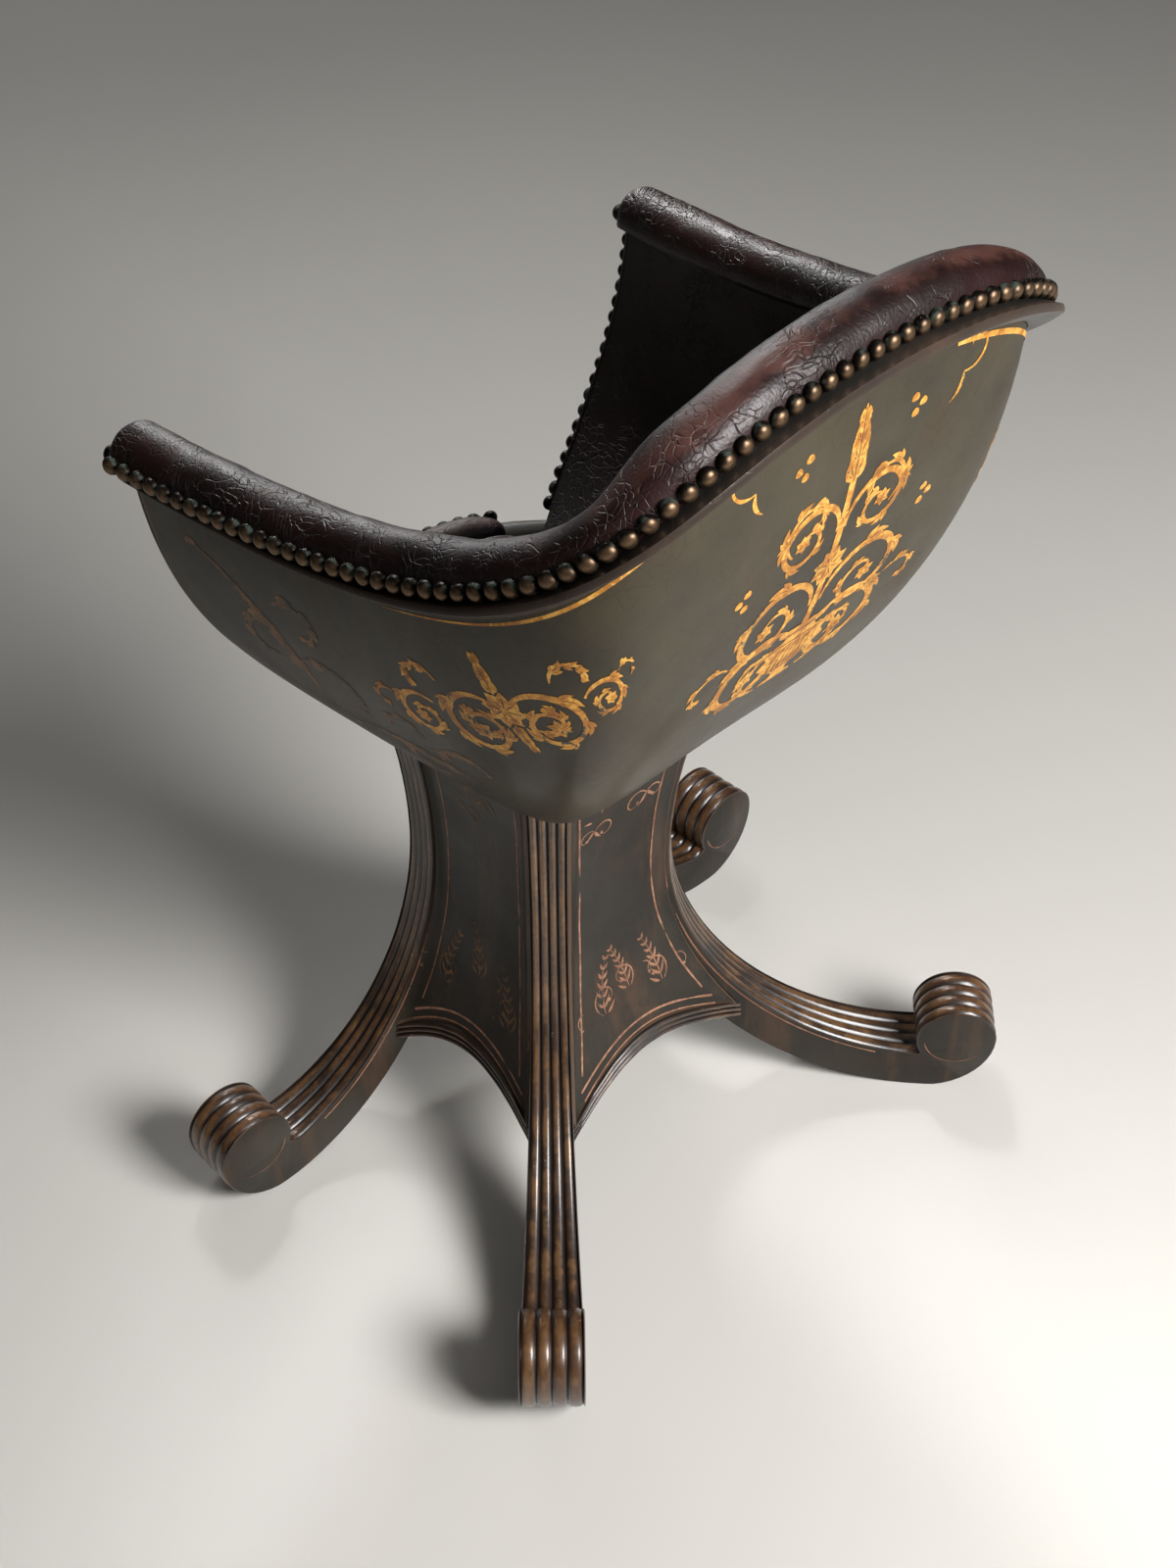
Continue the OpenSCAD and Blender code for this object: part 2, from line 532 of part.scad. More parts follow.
back_left_leg();
back_right_leg();
front_left_leg();
front_right_leg();
back_panel();
front_panel();
left_panel();
right_panel();
back_arch();
front_arch();
left_arch();
right_arch();
column_top_plate();
column_brace();
seat_board();
board_screws();
seat_shell();
front_apron();
rim_moulding();
inner_lining();
seat_pad();
rim_roll();
left_arm_binding();
right_arm_binding();
front_roll();
left_rim_nails();
right_rim_nails();
back_nail();
left_arm_nails();
right_arm_nails();
front_nails();
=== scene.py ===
import bisect
import math
import random

import bmesh
import bpy
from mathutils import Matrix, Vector, noise
from mathutils.bvhtree import BVHTree


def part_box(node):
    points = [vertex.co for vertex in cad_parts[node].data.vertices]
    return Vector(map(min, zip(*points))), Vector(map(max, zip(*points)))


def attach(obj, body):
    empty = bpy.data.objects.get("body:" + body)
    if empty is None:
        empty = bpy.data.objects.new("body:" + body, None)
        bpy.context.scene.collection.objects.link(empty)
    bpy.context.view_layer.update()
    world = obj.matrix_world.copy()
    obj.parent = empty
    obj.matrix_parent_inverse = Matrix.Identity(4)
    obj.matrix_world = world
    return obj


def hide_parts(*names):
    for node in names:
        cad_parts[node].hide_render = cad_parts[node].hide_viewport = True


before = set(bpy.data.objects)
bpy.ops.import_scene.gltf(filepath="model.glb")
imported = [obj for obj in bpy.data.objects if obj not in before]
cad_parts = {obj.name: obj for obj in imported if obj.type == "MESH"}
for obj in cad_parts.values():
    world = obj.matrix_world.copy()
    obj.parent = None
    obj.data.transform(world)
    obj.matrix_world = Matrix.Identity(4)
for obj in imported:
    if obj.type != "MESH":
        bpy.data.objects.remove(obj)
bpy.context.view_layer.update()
random.seed(7)
print("frame loaded:", len(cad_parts), "nodes")

# measures shared by several pieces, in millimetres about the axis of the column
chair = {
    "rimEnds": [(224, -118, 594), (191, 263, 603), (221, 250, 739), (0, 250, 739)],
    "columnTop": 363, "waist": 235, "foot": (76, 82),
    "shellIn": 7, "shellDrop": 6, "shellThick": 10, "liningThick": 12, "belly": 1.35, "frontSet": 8,
    "armLean": 0.38, "armHold": 0.5, "armFore": 12, "armFrom": 0.9,
    "frontHeight": 390.5, "frontBow": 48, "frontPower": 2.5, "boardTop": 383,
    "fillLow": 0.3, "seatFill": 10, "seatFillFrom": 0.4,
    "rollWidth": 40, "rollHeight": 24, "rollEnd": 12, "lipHeight": 17, "lipOut": 13,
    "nailWidth": 11.2, "nailHeight": 4.5, "nailPitch": 11.5, "gap": 0.3,
}
# the back edge of the column's top plate is 71.7 mm behind the column's axis
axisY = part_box("column_top_plate")[1].y - 0.0717
hands = (("left", 1), ("right", -1))


def toFrame(p):
    return Vector((p[0] / 1000, p[1] / 1000 + axisY, p[2] / 1000))


def fromFrame(p):
    return Vector((p[0] * 1000, (p[1] - axisY) * 1000, p[2] * 1000))


def clamp(x, low=0.0, high=1.0):
    return max(low, min(high, x))


def between(x, table):
    # straight lines through the points of a table
    for (xa, ya), (xb, yb) in zip(table, table[1:]):
        if x <= xb:
            return ya + (yb - ya) * clamp((x - xa) / (xb - xa))
    return table[-1][1]


# shape of the rim and the shell, as in the solids
rimEnds = [Vector(p) for p in chair["rimEnds"]]


def rimAt(t):
    a, b, c, d = rimEnds
    k = 1 - t
    return a * k**3 + b * 3 * t * k * k + c * 3 * t * t * k + d * t**3


def runsAlong(points):
    runs = [0.0]
    for a, b in zip(points, points[1:]):
        runs.append(runs[-1] + (b - a).length)
    return runs


def pointAt(points, runs, d):
    # the point a length d along the path
    k = min(len(points) - 2, max(0, bisect.bisect_right(runs, d) - 1))
    return points[k].lerp(points[k + 1], clamp((d - runs[k]) / max(1e-6, runs[k + 1] - runs[k])))


rimSteps = 240
rimRun = runsAlong([rimAt(i / rimSteps) for i in range(rimSteps + 1)])
rimLength = rimRun[-1]


def rim(s):
    # point of the rim, s along it from the middle of the back, to the left when positive
    run = clamp(rimLength - abs(s), 0, rimLength)
    i = min(rimSteps - 1, max(0, bisect.bisect_right(rimRun, run) - 1))
    t = (i + (run - rimRun[i]) / (rimRun[i + 1] - rimRun[i])) / rimSteps
    p = rimAt(t)
    return Vector((math.copysign(p.x, s) if s else 0, p.y, p.z))


def along(s):
    e = 1.5
    m = clamp(s, e - rimLength, rimLength - e)
    return (rim(m + e) - rim(m - e)).normalized()


def out(s):
    d = along(s)
    return Vector((-d.y, d.x, 0)).normalized()


up = Vector((0, 0, 1))
liningIn = chair["shellThick"] + chair["gap"] + chair["liningThick"]
footTurns = [(0, -45), (0.34, 0), (0.64, 45), (1, 90)]


def footPoint(u, inset):
    w = math.radians(between(1 - abs(u), footTurns))
    c, s = math.cos(w), math.sin(w)
    k = (abs(c)**9 + abs(s)**9)**(-1 / 9)
    side = -1 if u < 0 else 1
    x, y = chair["foot"]
    height = chair["columnTop"] + min(inset, liningIn)
    return Vector((side * (x - inset) * c * k, (y - inset) * s * k, height))


def shellTop(u, inset):
    s = u * (rimLength - chair["frontSet"])
    return rim(s) - out(s) * (chair["shellIn"] + inset) - up * chair["shellDrop"]


def atFront(u):
    # 0 along most of the wall, 1 at the arms' front edges
    t = max(0, (abs(u) - chair["armFrom"]) / (1 - chair["armFrom"]))
    return t * t * (3 - 2 * t)


def wall(u, v, inset):
    r, f = shellTop(u, inset), footPoint(u, inset)
    c, s = max(0, math.cos(math.pi / 2 * v)), math.sin(math.pi / 2 * v)
    k = atFront(u)
    cx = (1 - k / 2) * c**chair["belly"] + k / 2 * max(0, 1 - s)**chair["armLean"]
    cy = (1 - k) * c**chair["belly"] + k * c**chair["armHold"]
    fore = k * chair["armFore"] * math.sin(math.pi * v)
    return Vector((f.x + (r.x - f.x) * cx, f.y + (r.y - f.y) * cy - fore, r.z + (f.z - r.z) * s))


def lined(u, v):
    # inset of the lining's inner face: flush with the roll at the top,
    # thicker low down at the arms' front
    top = (chair["rollWidth"] - 3 - chair["shellIn"] - liningIn) * max(0, 1 - v / chair["fillLow"])**2
    low = max(0, (math.sin(math.pi / 2 * v) - chair["seatFillFrom"]) / (1 - chair["seatFillFrom"]))**1.5
    return liningIn + top + chair["seatFill"] * atFront(u) * low


def level(u, z, inset):
    r, f = shellTop(u, inset), footPoint(u, inset)
    return math.asin(clamp((r.z - z) / (r.z - f.z))) / (math.pi / 2)


apronTop = level(1, chair["frontHeight"], 0)


def apronBow(w):
    return chair["frontBow"] * max(0, 1 - w)**1.5


def apronX(v):
    z, thick = wall(1, v, chair["shellThick"]).z, chair["shellThick"]
    return min(wall(u / 100, level(u / 100, z, thick), thick).x for u in range(92, 101, 2)) - 0.5


def apron(u, w, deep):
    # front of the bowl: w from its top edge to its foot
    v = apronTop + (1 - apronTop) * w
    e = wall(1, v, 0)
    return Vector((u * apronX(v), e.y + deep - apronBow(w) * (1 - abs(u)**chair["frontPower"]),
                   e.z + deep * math.sin(math.pi / 2 * v) * w))


def frontLine(x, deep, w=0):
    e = apron(1, w, deep)
    return e.y - apronBow(w) * (1 - abs(x / e.x)**chair["frontPower"])


def frontWay(x, share=1):
    # level direction out of the seat's front edge
    slope = (frontLine(x + 1, 0) - frontLine(x - 1, 0)) / 2 * share
    return Vector((slope, -1, 0)).normalized()


# finishes
class Wire:
    # an output socket that takes part in sums
    def __init__(self, kit, socket):
        self.kit, self.socket = kit, socket

    def __add__(self, other):
        return self.kit.sum("ADD", self, other)

    __radd__ = __add__

    def __sub__(self, other):
        return self.kit.sum("SUBTRACT", self, other)

    def __rsub__(self, other):
        return self.kit.sum("SUBTRACT", other, self)

    def __mul__(self, other):
        return self.kit.sum("MULTIPLY", self, other)

    __rmul__ = __mul__

    def over(self, edge, soft):
        # 0 under the edge and 1 over it, with a soft step
        return self.kit.node("MapRange", {"interpolation_type": "SMOOTHSTEP"},
                             {"Value": self, "From Min": edge - soft, "From Max": edge + soft})


class Finish:
    def __init__(self, name, **shader):
        self.material = bpy.data.materials.new(name)
        self.material.use_nodes = True
        self.tree = self.material.node_tree
        self.shader = self.tree.nodes["Principled BSDF"]
        for key, value in shader.items():
            self.shader.inputs[key.replace("_", " ")].default_value = value

    def node(self, kind, settings=None, inputs=None, output=0):
        made = self.tree.nodes.new("ShaderNode" + kind)
        for key, value in (settings or {}).items():
            setattr(made, key, value)
        for key, value in (inputs or {}).items():
            if isinstance(value, Wire):
                self.tree.links.new(value.socket, made.inputs[key])
            elif isinstance(value, tuple) and len(value) == 3 and made.inputs[key].type == "RGBA":
                made.inputs[key].default_value = (*value, 1)
            else:
                made.inputs[key].default_value = value
        return Wire(self, made.outputs[output])

    def sum(self, operation, a, b):
        return self.node("Math", {"operation": operation}, {0: a, 1: b})

    def place(self):
        return self.node("TexCoord", output="Object")

    def mark(self, name):
        return self.node("Attribute", {"attribute_name": name}, output="Fac")

    def noise(self, scale, detail=4, rough=0.55, stretch=None):
        where = self.place()
        if stretch:
            where = self.node("Mapping", None, {"Vector": where, "Scale": stretch})
        return self.node("TexNoise", None, {"Vector": where, "Scale": scale, "Detail": detail,
                                            "Roughness": rough})

    def shaken(self, share, scale):
        # the place, pushed a little way by noise
        push = self.node("TexNoise", None, {"Vector": self.place(), "Scale": scale}, "Color")
        return self.node("Mix", {"data_type": "VECTOR"}, {0: share, 4: self.place(), 5: push}, 1)

    def cells(self, scale, feature="DISTANCE_TO_EDGE", where=None):
        where = where or self.place()
        return self.node("TexVoronoi", {"feature": feature}, {"Vector": where, "Scale": scale})

    def mix(self, share, a, b):
        return self.node("Mix", {"data_type": "RGBA"}, {0: share, 6: a, 7: b}, 2)

    def bump(self, height, strength, distance):
        return self.node("Bump", None, {"Height": height, "Strength": strength, "Distance": distance})

    def wire(self, **sockets):
        for key, value in sockets.items():
            self.tree.links.new(value.socket, self.shader.inputs[key.replace("_", " ")])
        return self


def lacquerFinish(name, dark, light, brown, gloss, wear, streaked=0.0):
    f = Finish(name, IOR=1.36, Coat_IOR=1.5, Coat_Roughness=0.16)
    cloud = f.noise(7, 5, 0.6)
    patch = f.noise(23, 4, 0.6)
    fine = f.noise(160, 3)
    colour = f.mix(cloud.over(0.52, 0.16), dark, light)
    colour = f.mix(patch.over(0.63, 0.13) * 0.55, colour, brown)
    if streaked:
        runs = f.noise(42, 5, 0.65, (1, 1, 0.14)).over(0.58, 0.1)
        colour = f.mix(runs * streaked, colour, (0.085, 0.043, 0.023))
    craze = 1 - f.cells(70, where=f.shaken(0.025, 30.0)).over(0.02, 0.02)
    colour = f.mix(craze * patch.over(0.5, 0.1) * 0.35, colour, (0.012, 0.010, 0.008))
    rubbed = (f.mark("edge") + patch * 0.5 - 0.55).over(0.5, 0.22) * wear
    colour = f.mix(rubbed, colour, (0.20, 0.115, 0.07))
    chips = f.noise(60, 6, 0.75).over(0.705, 0.02) * f.noise(9).over(0.5, 0.06)
    colour = f.mix(chips * 0.65, colour, (0.33, 0.29, 0.23))
    rough = gloss + patch * 0.16 + fine * 0.08 + rubbed * 0.1
    height = fine * 0.25 + patch * 0.5 - craze * 0.25 - chips * 0.5
    return f.wire(Base_Color=colour, Roughness=rough, Coat_Weight=0.26 - patch * 0.24,
                  Normal=f.bump(height, 0.35, 0.0006)).material


def reedFinish(name, ground, brown, gold, glaze):
    # dark varnish that is rubbed through on the crests of the reeds
    f = Finish(name, IOR=1.5, Coat_IOR=1.5, Coat_Roughness=0.18)
    crest = f.mark("crest")
    streak = f.noise(60, 4, 0.6, (1, 1, 0.16))
    patch = f.noise(19, 4, 0.6)
    fine = f.noise(230, 3, 0.6)
    worn = (crest * 0.75 + streak * 1.1 + patch * 0.7 - 0.85).over(0.62, 0.26)
    colour = f.mix(patch.over(0.5, 0.2), ground, brown)
    colour = f.mix(worn * 0.85, colour, gold)
    bright = (crest * 0.5 + streak * 0.65 + fine * 0.35).over(1.0, 0.1)
    colour = f.mix(bright * 0.55, colour, (0.26, 0.135, 0.055))
    deep = (1 - crest).over(0.78, 0.16)
    colour = f.mix(deep * 0.6, colour, (0.008, 0.006, 0.005))
    nicks = f.noise(85, 5, 0.7).over(0.70, 0.02)
    colour = f.mix(nicks * crest * 0.7, colour, (0.45, 0.36, 0.26))
    height = streak * 0.5 + fine * 0.22 - nicks * 0.4
    return f.wire(Base_Color=colour, Roughness=glaze + patch * 0.2 + fine * 0.1 - bright * 0.06,
                  Metallic=bright * 0.25, Coat_Weight=0.35 + streak * 0.5,
                  Normal=f.bump(height, 0.6, 0.0011)).material


def leatherFinish(name, dark, mid, pale, cracked, scuffAndSheenAmount, gloss):
    f = Finish(name, IOR=1.48)
    cloud = f.noise(9, 5, 0.6)
    patch = f.noise(34, 5, 0.65)
    grain = f.cells(520, "F1")
    warped = f.shaken(0.05, 21.0)
    crackBig = 1 - f.cells(64, where=warped).over(0.022, 0.022)
    crackFine = 1 - f.cells(170, where=warped).over(0.05, 0.04)
    cracks = crackBig * patch.over(0.58, 0.07) * 0.7 + crackFine * f.noise(26, 4).over(0.54, 0.08) * 0.7
    colour = f.mix(cloud.over(0.5, 0.18), dark, mid)
    colour = f.mix(cracks * cracked, colour, (0.012, 0.008, 0.007))
    crown = f.mark("edge")
    # paler leather on the crown of each piece: scuff wear, and on the rim roll's top towards the back
    # also a painted sheen
    scuffAndSheen = (crown * 0.75 + patch * 0.8 + f.noise(130, 3) * 0.35 - 0.5).over(0.62, 0.16) * scuffAndSheenAmount
    colour = f.mix(scuffAndSheen, colour, pale)
    rough = gloss + patch * 0.22 + scuffAndSheen * 0.15 + cracks * 0.1
    height = patch * 0.8 - cracks * 0.9 + grain * 0.14
    return f.wire(Base_Color=colour, Roughness=rough, Normal=f.bump(height, 0.7, 0.0012)).material


def nailFinish():
    f = Finish("domedBronze", IOR=1.5)
    crown = f.mark("crest")
    patch = f.noise(120, 4, 0.6)
    spots = f.noise(330, 3)
    colour = f.mix((crown + patch * 0.6).over(0.98, 0.28), (0.018, 0.012, 0.009), (0.155, 0.096, 0.055))
    green = (1 - crown).over(0.55, 0.22) * patch.over(0.54, 0.07)
    colour = f.mix(green * 0.55, colour, (0.050, 0.080, 0.060))
    colour = f.mix(spots.over(0.63, 0.03) * 0.6, colour, (0.02, 0.016, 0.012))
    return f.wire(Base_Color=colour, Metallic=0.85 - green * 0.7,
                  Roughness=0.3 + patch * 0.2 + green * 0.3, Normal=f.bump(spots, 0.25, 0.0003)).material


def giltFinish(name, deep, mid, bright, worn, ground):
    # painted gold: brush tones, rubbed away in places down to the ground
    f = Finish(name, IOR=1.5)
    tone = f.noise(75, 4, 0.6)
    brush = f.noise(300, 3, 0.6)
    away = (f.noise(150, 5, 0.7) * 0.6 + f.noise(24, 4) * 0.6).over(worn, 0.035)
    colour = f.mix(tone.over(0.47, 0.1), deep, mid)
    colour = f.mix((brush * 0.6 + tone * 0.5).over(0.6, 0.07), colour, bright)
    colour = f.mix(away, colour, ground)
    return f.wire(Base_Color=colour, Roughness=0.42 + brush * 0.2, Metallic=0.12 * (1 - away)).material


def woodFinish(name, pale, dark):
    f = Finish(name, IOR=1.45)
    grain = f.node("Mapping", None, {"Vector": f.place(), "Scale": (6.0, 90.0, 90.0)})
    rings = f.node("TexNoise", None, {"Vector": grain, "Scale": 1.6, "Detail": 6.0, "Distortion": 0.6})
    pores = f.noise(900, 2, stretch=(0.06, 1, 1))
    colour = f.mix(rings.over(0.5, 0.2), pale, dark)
    colour = f.mix(pores.over(0.62, 0.05) * 0.5, colour, (0.10, 0.055, 0.025))
    return f.wire(Base_Color=colour, Roughness=0.62 + pores * 0.2,
                  Normal=f.bump(rings * 0.5 - pores * 0.4, 0.3, 0.0004)).material


def steelFinish():
    f = Finish("screwSteel", IOR=1.5, Metallic=1.0)
    tarnish = f.noise(140, 4)
    colour = f.mix(tarnish.over(0.56, 0.1), (0.42, 0.42, 0.43), (0.14, 0.11, 0.09))
    return f.wire(Base_Color=colour, Roughness=0.3 + tarnish * 0.3).material


finishes = {
    "shell": lacquerFinish("oliveLacquer",
        (0.020, 0.016, 0.0085), (0.044, 0.035, 0.017), (0.046, 0.026, 0.013), 0.36, 0.5, 0.12),
    "column": lacquerFinish("brownLacquer",
        (0.014, 0.011, 0.008), (0.032, 0.026, 0.018), (0.045, 0.026, 0.016), 0.34, 0.45, 0.5),
    "lip": lacquerFinish("rimLacquer",
        (0.010, 0.009, 0.008), (0.022, 0.020, 0.018), (0.045, 0.030, 0.026), 0.2, 0.16),
    "reeds": reedFinish("rubbedReeds",
        (0.009, 0.0055, 0.004), (0.026, 0.013, 0.0075), (0.068, 0.031, 0.013), 0.27),
    "scroll": reedFinish("rubbedScrolls",
        (0.012, 0.007, 0.0045), (0.034, 0.015, 0.0075), (0.095, 0.041, 0.016), 0.28),
    "roll": leatherFinish("oxbloodRoll",
        (0.006, 0.0021, 0.0018), (0.020, 0.0052, 0.0042), (0.13, 0.048, 0.034), 0.75, 0.5, 0.3),
    "lining": leatherFinish("oxbloodLining",
        (0.0075, 0.0024, 0.0020), (0.018, 0.0048, 0.0038), (0.050, 0.018, 0.013), 0.5, 0.25, 0.5),
    "pad": leatherFinish("oxbloodPad",
        (0.011, 0.0032, 0.0027), (0.032, 0.0085, 0.0065), (0.10, 0.036, 0.026), 0.65, 0.4, 0.38),
    "nails": nailFinish(),
    "gold": giltFinish("giltPaint",
        (0.36, 0.135, 0.016), (0.60, 0.265, 0.032), (0.76, 0.42, 0.085), 0.71, (0.040, 0.036, 0.025)),
    "shade": giltFinish("giltShade",
        (0.10, 0.035, 0.010), (0.15, 0.055, 0.014), (0.21, 0.085, 0.02), 0.74, (0.040, 0.030, 0.020)),
    "faded": giltFinish("fadedGilt",
        (0.11, 0.054, 0.019), (0.18, 0.088, 0.03), (0.26, 0.14, 0.05), 0.635, (0.034, 0.028, 0.02)),
    "copper": giltFinish("copperLine",
        (0.20, 0.090, 0.050), (0.30, 0.140, 0.080), (0.40, 0.210, 0.125), 0.71, (0.045, 0.034, 0.026)),
    "wood": woodFinish("bareWood", (0.40, 0.27, 0.155), (0.27, 0.165, 0.085)),
    "steel": steelFinish(),
}
print("finishes:", len(finishes))


# mesh helpers
def addGrid(bm, cells, rows, place, marks=None, wrap=False):
    # a grid whose points are put by place(u, v); marks are values kept at each point
    bm.loops.layers.uv.verify()
    floats = bm.verts.layers.float
    layers = {name: floats.get(name) or floats.new(name) for name in (marks or {})}
    made = bmesh.ops.create_grid(bm, x_segments=cells, y_segments=rows, size=0.5, calc_uvs=True)
    verts = made["verts"]
    for vert in verts:
        u, v = vert.co.x + 0.5, vert.co.y + 0.5
        for name, value in (marks or {}).items():
            vert[layers[name]] = value(u, v)
        vert.co = toFrame(place(u, v))
    if wrap:
        bmesh.ops.remove_doubles(bm, verts=verts, dist=2e-6)


def closeEnds(bm):
    rims = [e for e in bm.edges if e.is_boundary]
    made = bmesh.ops.holes_fill(bm, edges=rims, sides=0)["faces"]
    bmesh.ops.triangulate(bm, faces=made)


def linked(name, data):
    made = bpy.data.objects.new(name, data)
    bpy.context.scene.collection.objects.link(made)
    return made


def finishPiece(name, bm, finish, sharp, replaced=(), outward=True):
    if outward:
        bmesh.ops.recalc_face_normals(bm, faces=bm.faces)
    mesh = bpy.data.meshes.new(name)
    bm.to_mesh(mesh)
    bm.free()
    mesh.shade_smooth()
    if sharp:
        mesh.set_sharp_from_angle(angle=math.radians(sharp))
    piece = linked(name, mesh)
    mesh.materials.append(finishes[finish])
    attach(piece, "root")
    if replaced:
        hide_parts(*replaced)
    return piece


def makeClosed(name, finish, node, sharp, loop, cells, put, marks):
    # a closed outline of loop points carried along cells steps, with both ends filled
    bm = bmesh.new()
    addGrid(bm, loop, cells, put, marks, wrap=True)
    closeEnds(bm)
    return finishPiece(name, bm, finish, sharp, [node])


def makeSlab(name, finish, node, sharp, cells, rows, place, thick, marks):
    # a wall with an outer and an inner side: place(u, row, inset)
    loop = 2 * rows + 2

    def section(u):
        k = round(u * loop) % loop
        row, inset = (k, 0) if k <= rows else (loop - 1 - k, thick)
        return row / rows, inset

    def put(u, v):
        row, inset = section(u)
        return place(v, row, inset)

    def lifted(value):
        return lambda u, v: value(v, section(u)[0]) if section(u)[1] == 0 else 0.0

    return makeClosed(name, finish, node, sharp, loop, cells, put,
                      {n: lifted(f) for n, f in marks.items()})


def finishPaint(name, bm, finish):
    finishPiece(name, bm, finish, 0, outward=False)


def wobble(p, size, amount):
    return noise.noise(Vector(p) / size) * amount


# legs: four reeds down each rib, round the scroll and under it
legs = {
    "ribDeep": 28, "ribWidth": 26, "footWidth": 44, "scrollRadius": 30, "scrollHeight": 52, "worn": 0.6,
    "flare": 0.00116, "faceIn": 16, "backIn": 21, "halfIn": 20, "ringRadius": 24,
    "back": {"turn": 46.5, "waist": 86, "reach": 306, "off": 0},
    "front": {"turn": -2.0, "waist": 66, "reach": 245, "off": 60},
    "reeds": 4, "reedDeep": 2.3, "edge": 0.07, "lineDeep": 4.6, "lineWide": 1.3,
}
legLow = legs["scrollHeight"] - 17


def legFace(z, leg):
    waist, reach = leg["waist"], leg["reach"]
    if z >= chair["waist"]:
        return waist + legs["flare"] * (z - chair["waist"])**2
    h = clamp((chair["waist"] - z) / (chair["waist"] - legLow))
    return waist + (reach - legs["faceIn"] - waist) * (1 - math.sqrt(1 - h * h))


def legBack(z, leg):
    waist, reach = leg["waist"], leg["reach"]
    if z >= chair["waist"]:
        return legFace(z, leg) - legs["ribDeep"]
    h = clamp((chair["waist"] - z) / chair["waist"])
    span = reach - legs["backIn"] - waist + legs["ribDeep"]
    return waist - legs["ribDeep"] + span * (1 - math.sqrt(1 - h * h))


def legHalf(s, leg):
    share = clamp((s - leg["waist"]) / (leg["reach"] - legs["halfIn"] - leg["waist"]))
    return (legs["ribWidth"] + (legs["footWidth"] - legs["ribWidth"]) * share) / 2


def legPlane(leg, side):
    # the upright plane of a leg: its reach and its across direction
    a = math.radians(leg["turn"])
    reach = Vector((side * math.cos(a), math.sin(a), 0))
    across = Vector((-side * math.sin(a), math.cos(a), 0))
    return Vector((0, -leg["off"], 0)), reach, across


def legOutline(leg):
    # (reach, height, share of the reeding) round the leg, face first
    top = chair["columnTop"] + legs["worn"]
    waistZ, radius = chair["waist"], legs["scrollRadius"]
    middle = Vector((leg["reach"], legs["scrollHeight"]))
    toe = leg["reach"] - legs["backIn"]
    down = [top - (top - waistZ) * i / 8 for i in range(9)]
    points = [(legFace(z, leg), z, 1) for z in down]
    for i in range(1, 31):
        z = waistZ - (waistZ - legLow) * math.sin(math.pi / 2 * i / 30)
        p = Vector((legFace(z, leg), z))
        if (p - middle).length > radius + 0.8:
            points.append((p.x, p.y, 1))
    face = len(points)
    crease = Vector(points[-1][:2]) - middle
    entry = math.atan2(crease.y, crease.x) % math.tau - math.radians(2)
    for i in range(41):
        a = entry * (1 - i / 40)
        points.append((middle.x + radius * math.cos(a), middle.y + radius * math.sin(a), 1))
    for a in range(82, -1, -8):
        w = math.radians(a)
        points.append((toe + (middle.x + radius - toe) * math.sin(w), middle.y * (1 - math.cos(w)),
                       clamp((a - 20) / 50)))
    for i in range(27, 0, -1):
        z = waistZ * (1 - math.sin(math.pi / 2 * i / 28))
        points.append((legBack(z, leg), z, 0))
    rise = [top - (top - waistZ) * i / 6 for i in range(6, -1, -1)]
    points += [(legBack(z, leg), z, 0) for z in rise]
    return [(s, max(0, z - legs["worn"]), w) for s, z, w in points], face


def reedAcross():
    # positions over the width, and how deep the surface lies there, both as shares
    n, edge = legs["reeds"], legs["edge"]
    rows = [(-1, 0.55), (-1 + edge / 2, 0.12)]
    wide = 2 * (1 - edge) / n
    for k in range(n):
        for j in range(7):
            if k and not j:
                continue
            x = -1 + j / 3
            rows.append((-1 + edge + wide * (k + j / 6), 1 - math.sqrt(max(0, 1 - x * x))))
    return rows + [(1 - edge / 2, 0.12), (1, 0.55)]


across = reedAcross()


def makeLeg(name, node, leg, side):
    outline, _ = legOutline(leg)
    n, m = len(outline), len(across) - 1
    origin, reach, over = legPlane(leg, side)

    def put(u, v):
        i, j = round(u * n) % n, round(v * m)
        s, z, share = outline[i]
        sa, za, _ = outline[i - 1]
        sb, zb, _ = outline[(i + 1) % n]
        d = Vector((sb - sa, zb - za)).normalized()
        t, deep = across[j]
        deep = deep * legs["reedDeep"] * share + (0.7 * abs(t)**18 * (1 - share))
        s, z = s + d.y * deep, z - d.x * deep
        p = origin + reach * s + over * (t * legHalf(outline[i][0], leg)) + up * max(0, z)
        rough = share * (1 - abs(t)**6)
        p += reach * (wobble(p, 9, 0.35) + wobble(p + up * 90, 26, 0.5)) * rough * (0 if z > 350 else 1)
        return p

    def crest(u, v):
        share = outline[round(u * n) % n][2]
        return (1 - across[round(v * m)][1]) * share + 0.25 * (1 - share)

    mesh = makeClosed(name, "reeds", node, 50, n, m, put, {"crest": crest}).data
    for finish in ("scroll", "column"):
        mesh.materials.append(finishes[finish])
    middle = toFrame(origin + reach * leg["reach"] + up * legs["scrollHeight"])
    for face in mesh.polygons:
        if abs(face.normal.dot(over)) > 0.96:
            face.material_index = 2
        elif (face.center - middle).length < 0.045:
            face.material_index = 1


# painted strokes that lie on a surface
urnShape = [(0, 0.5), (0.06, 0.5), (0.11, 0.2), (0.2, 0.26), (0.3, 0.62), (0.48, 0.95), (0.6, 1),
            (0.72, 0.86), (0.82, 0.5), (0.88, 0.46), (0.93, 0.72), (1, 0.76)]


def strokeWidth(v, kind):
    if kind == "line":
        return 1.0
    if kind == "leaf":
        return max(0.06, math.sin(math.pi * v**0.75))
    if kind == "urn":
        return between(v, urnShape)
    return max(0.12, (1 - v)**0.6) * min(1, 0.35 + v * 5)


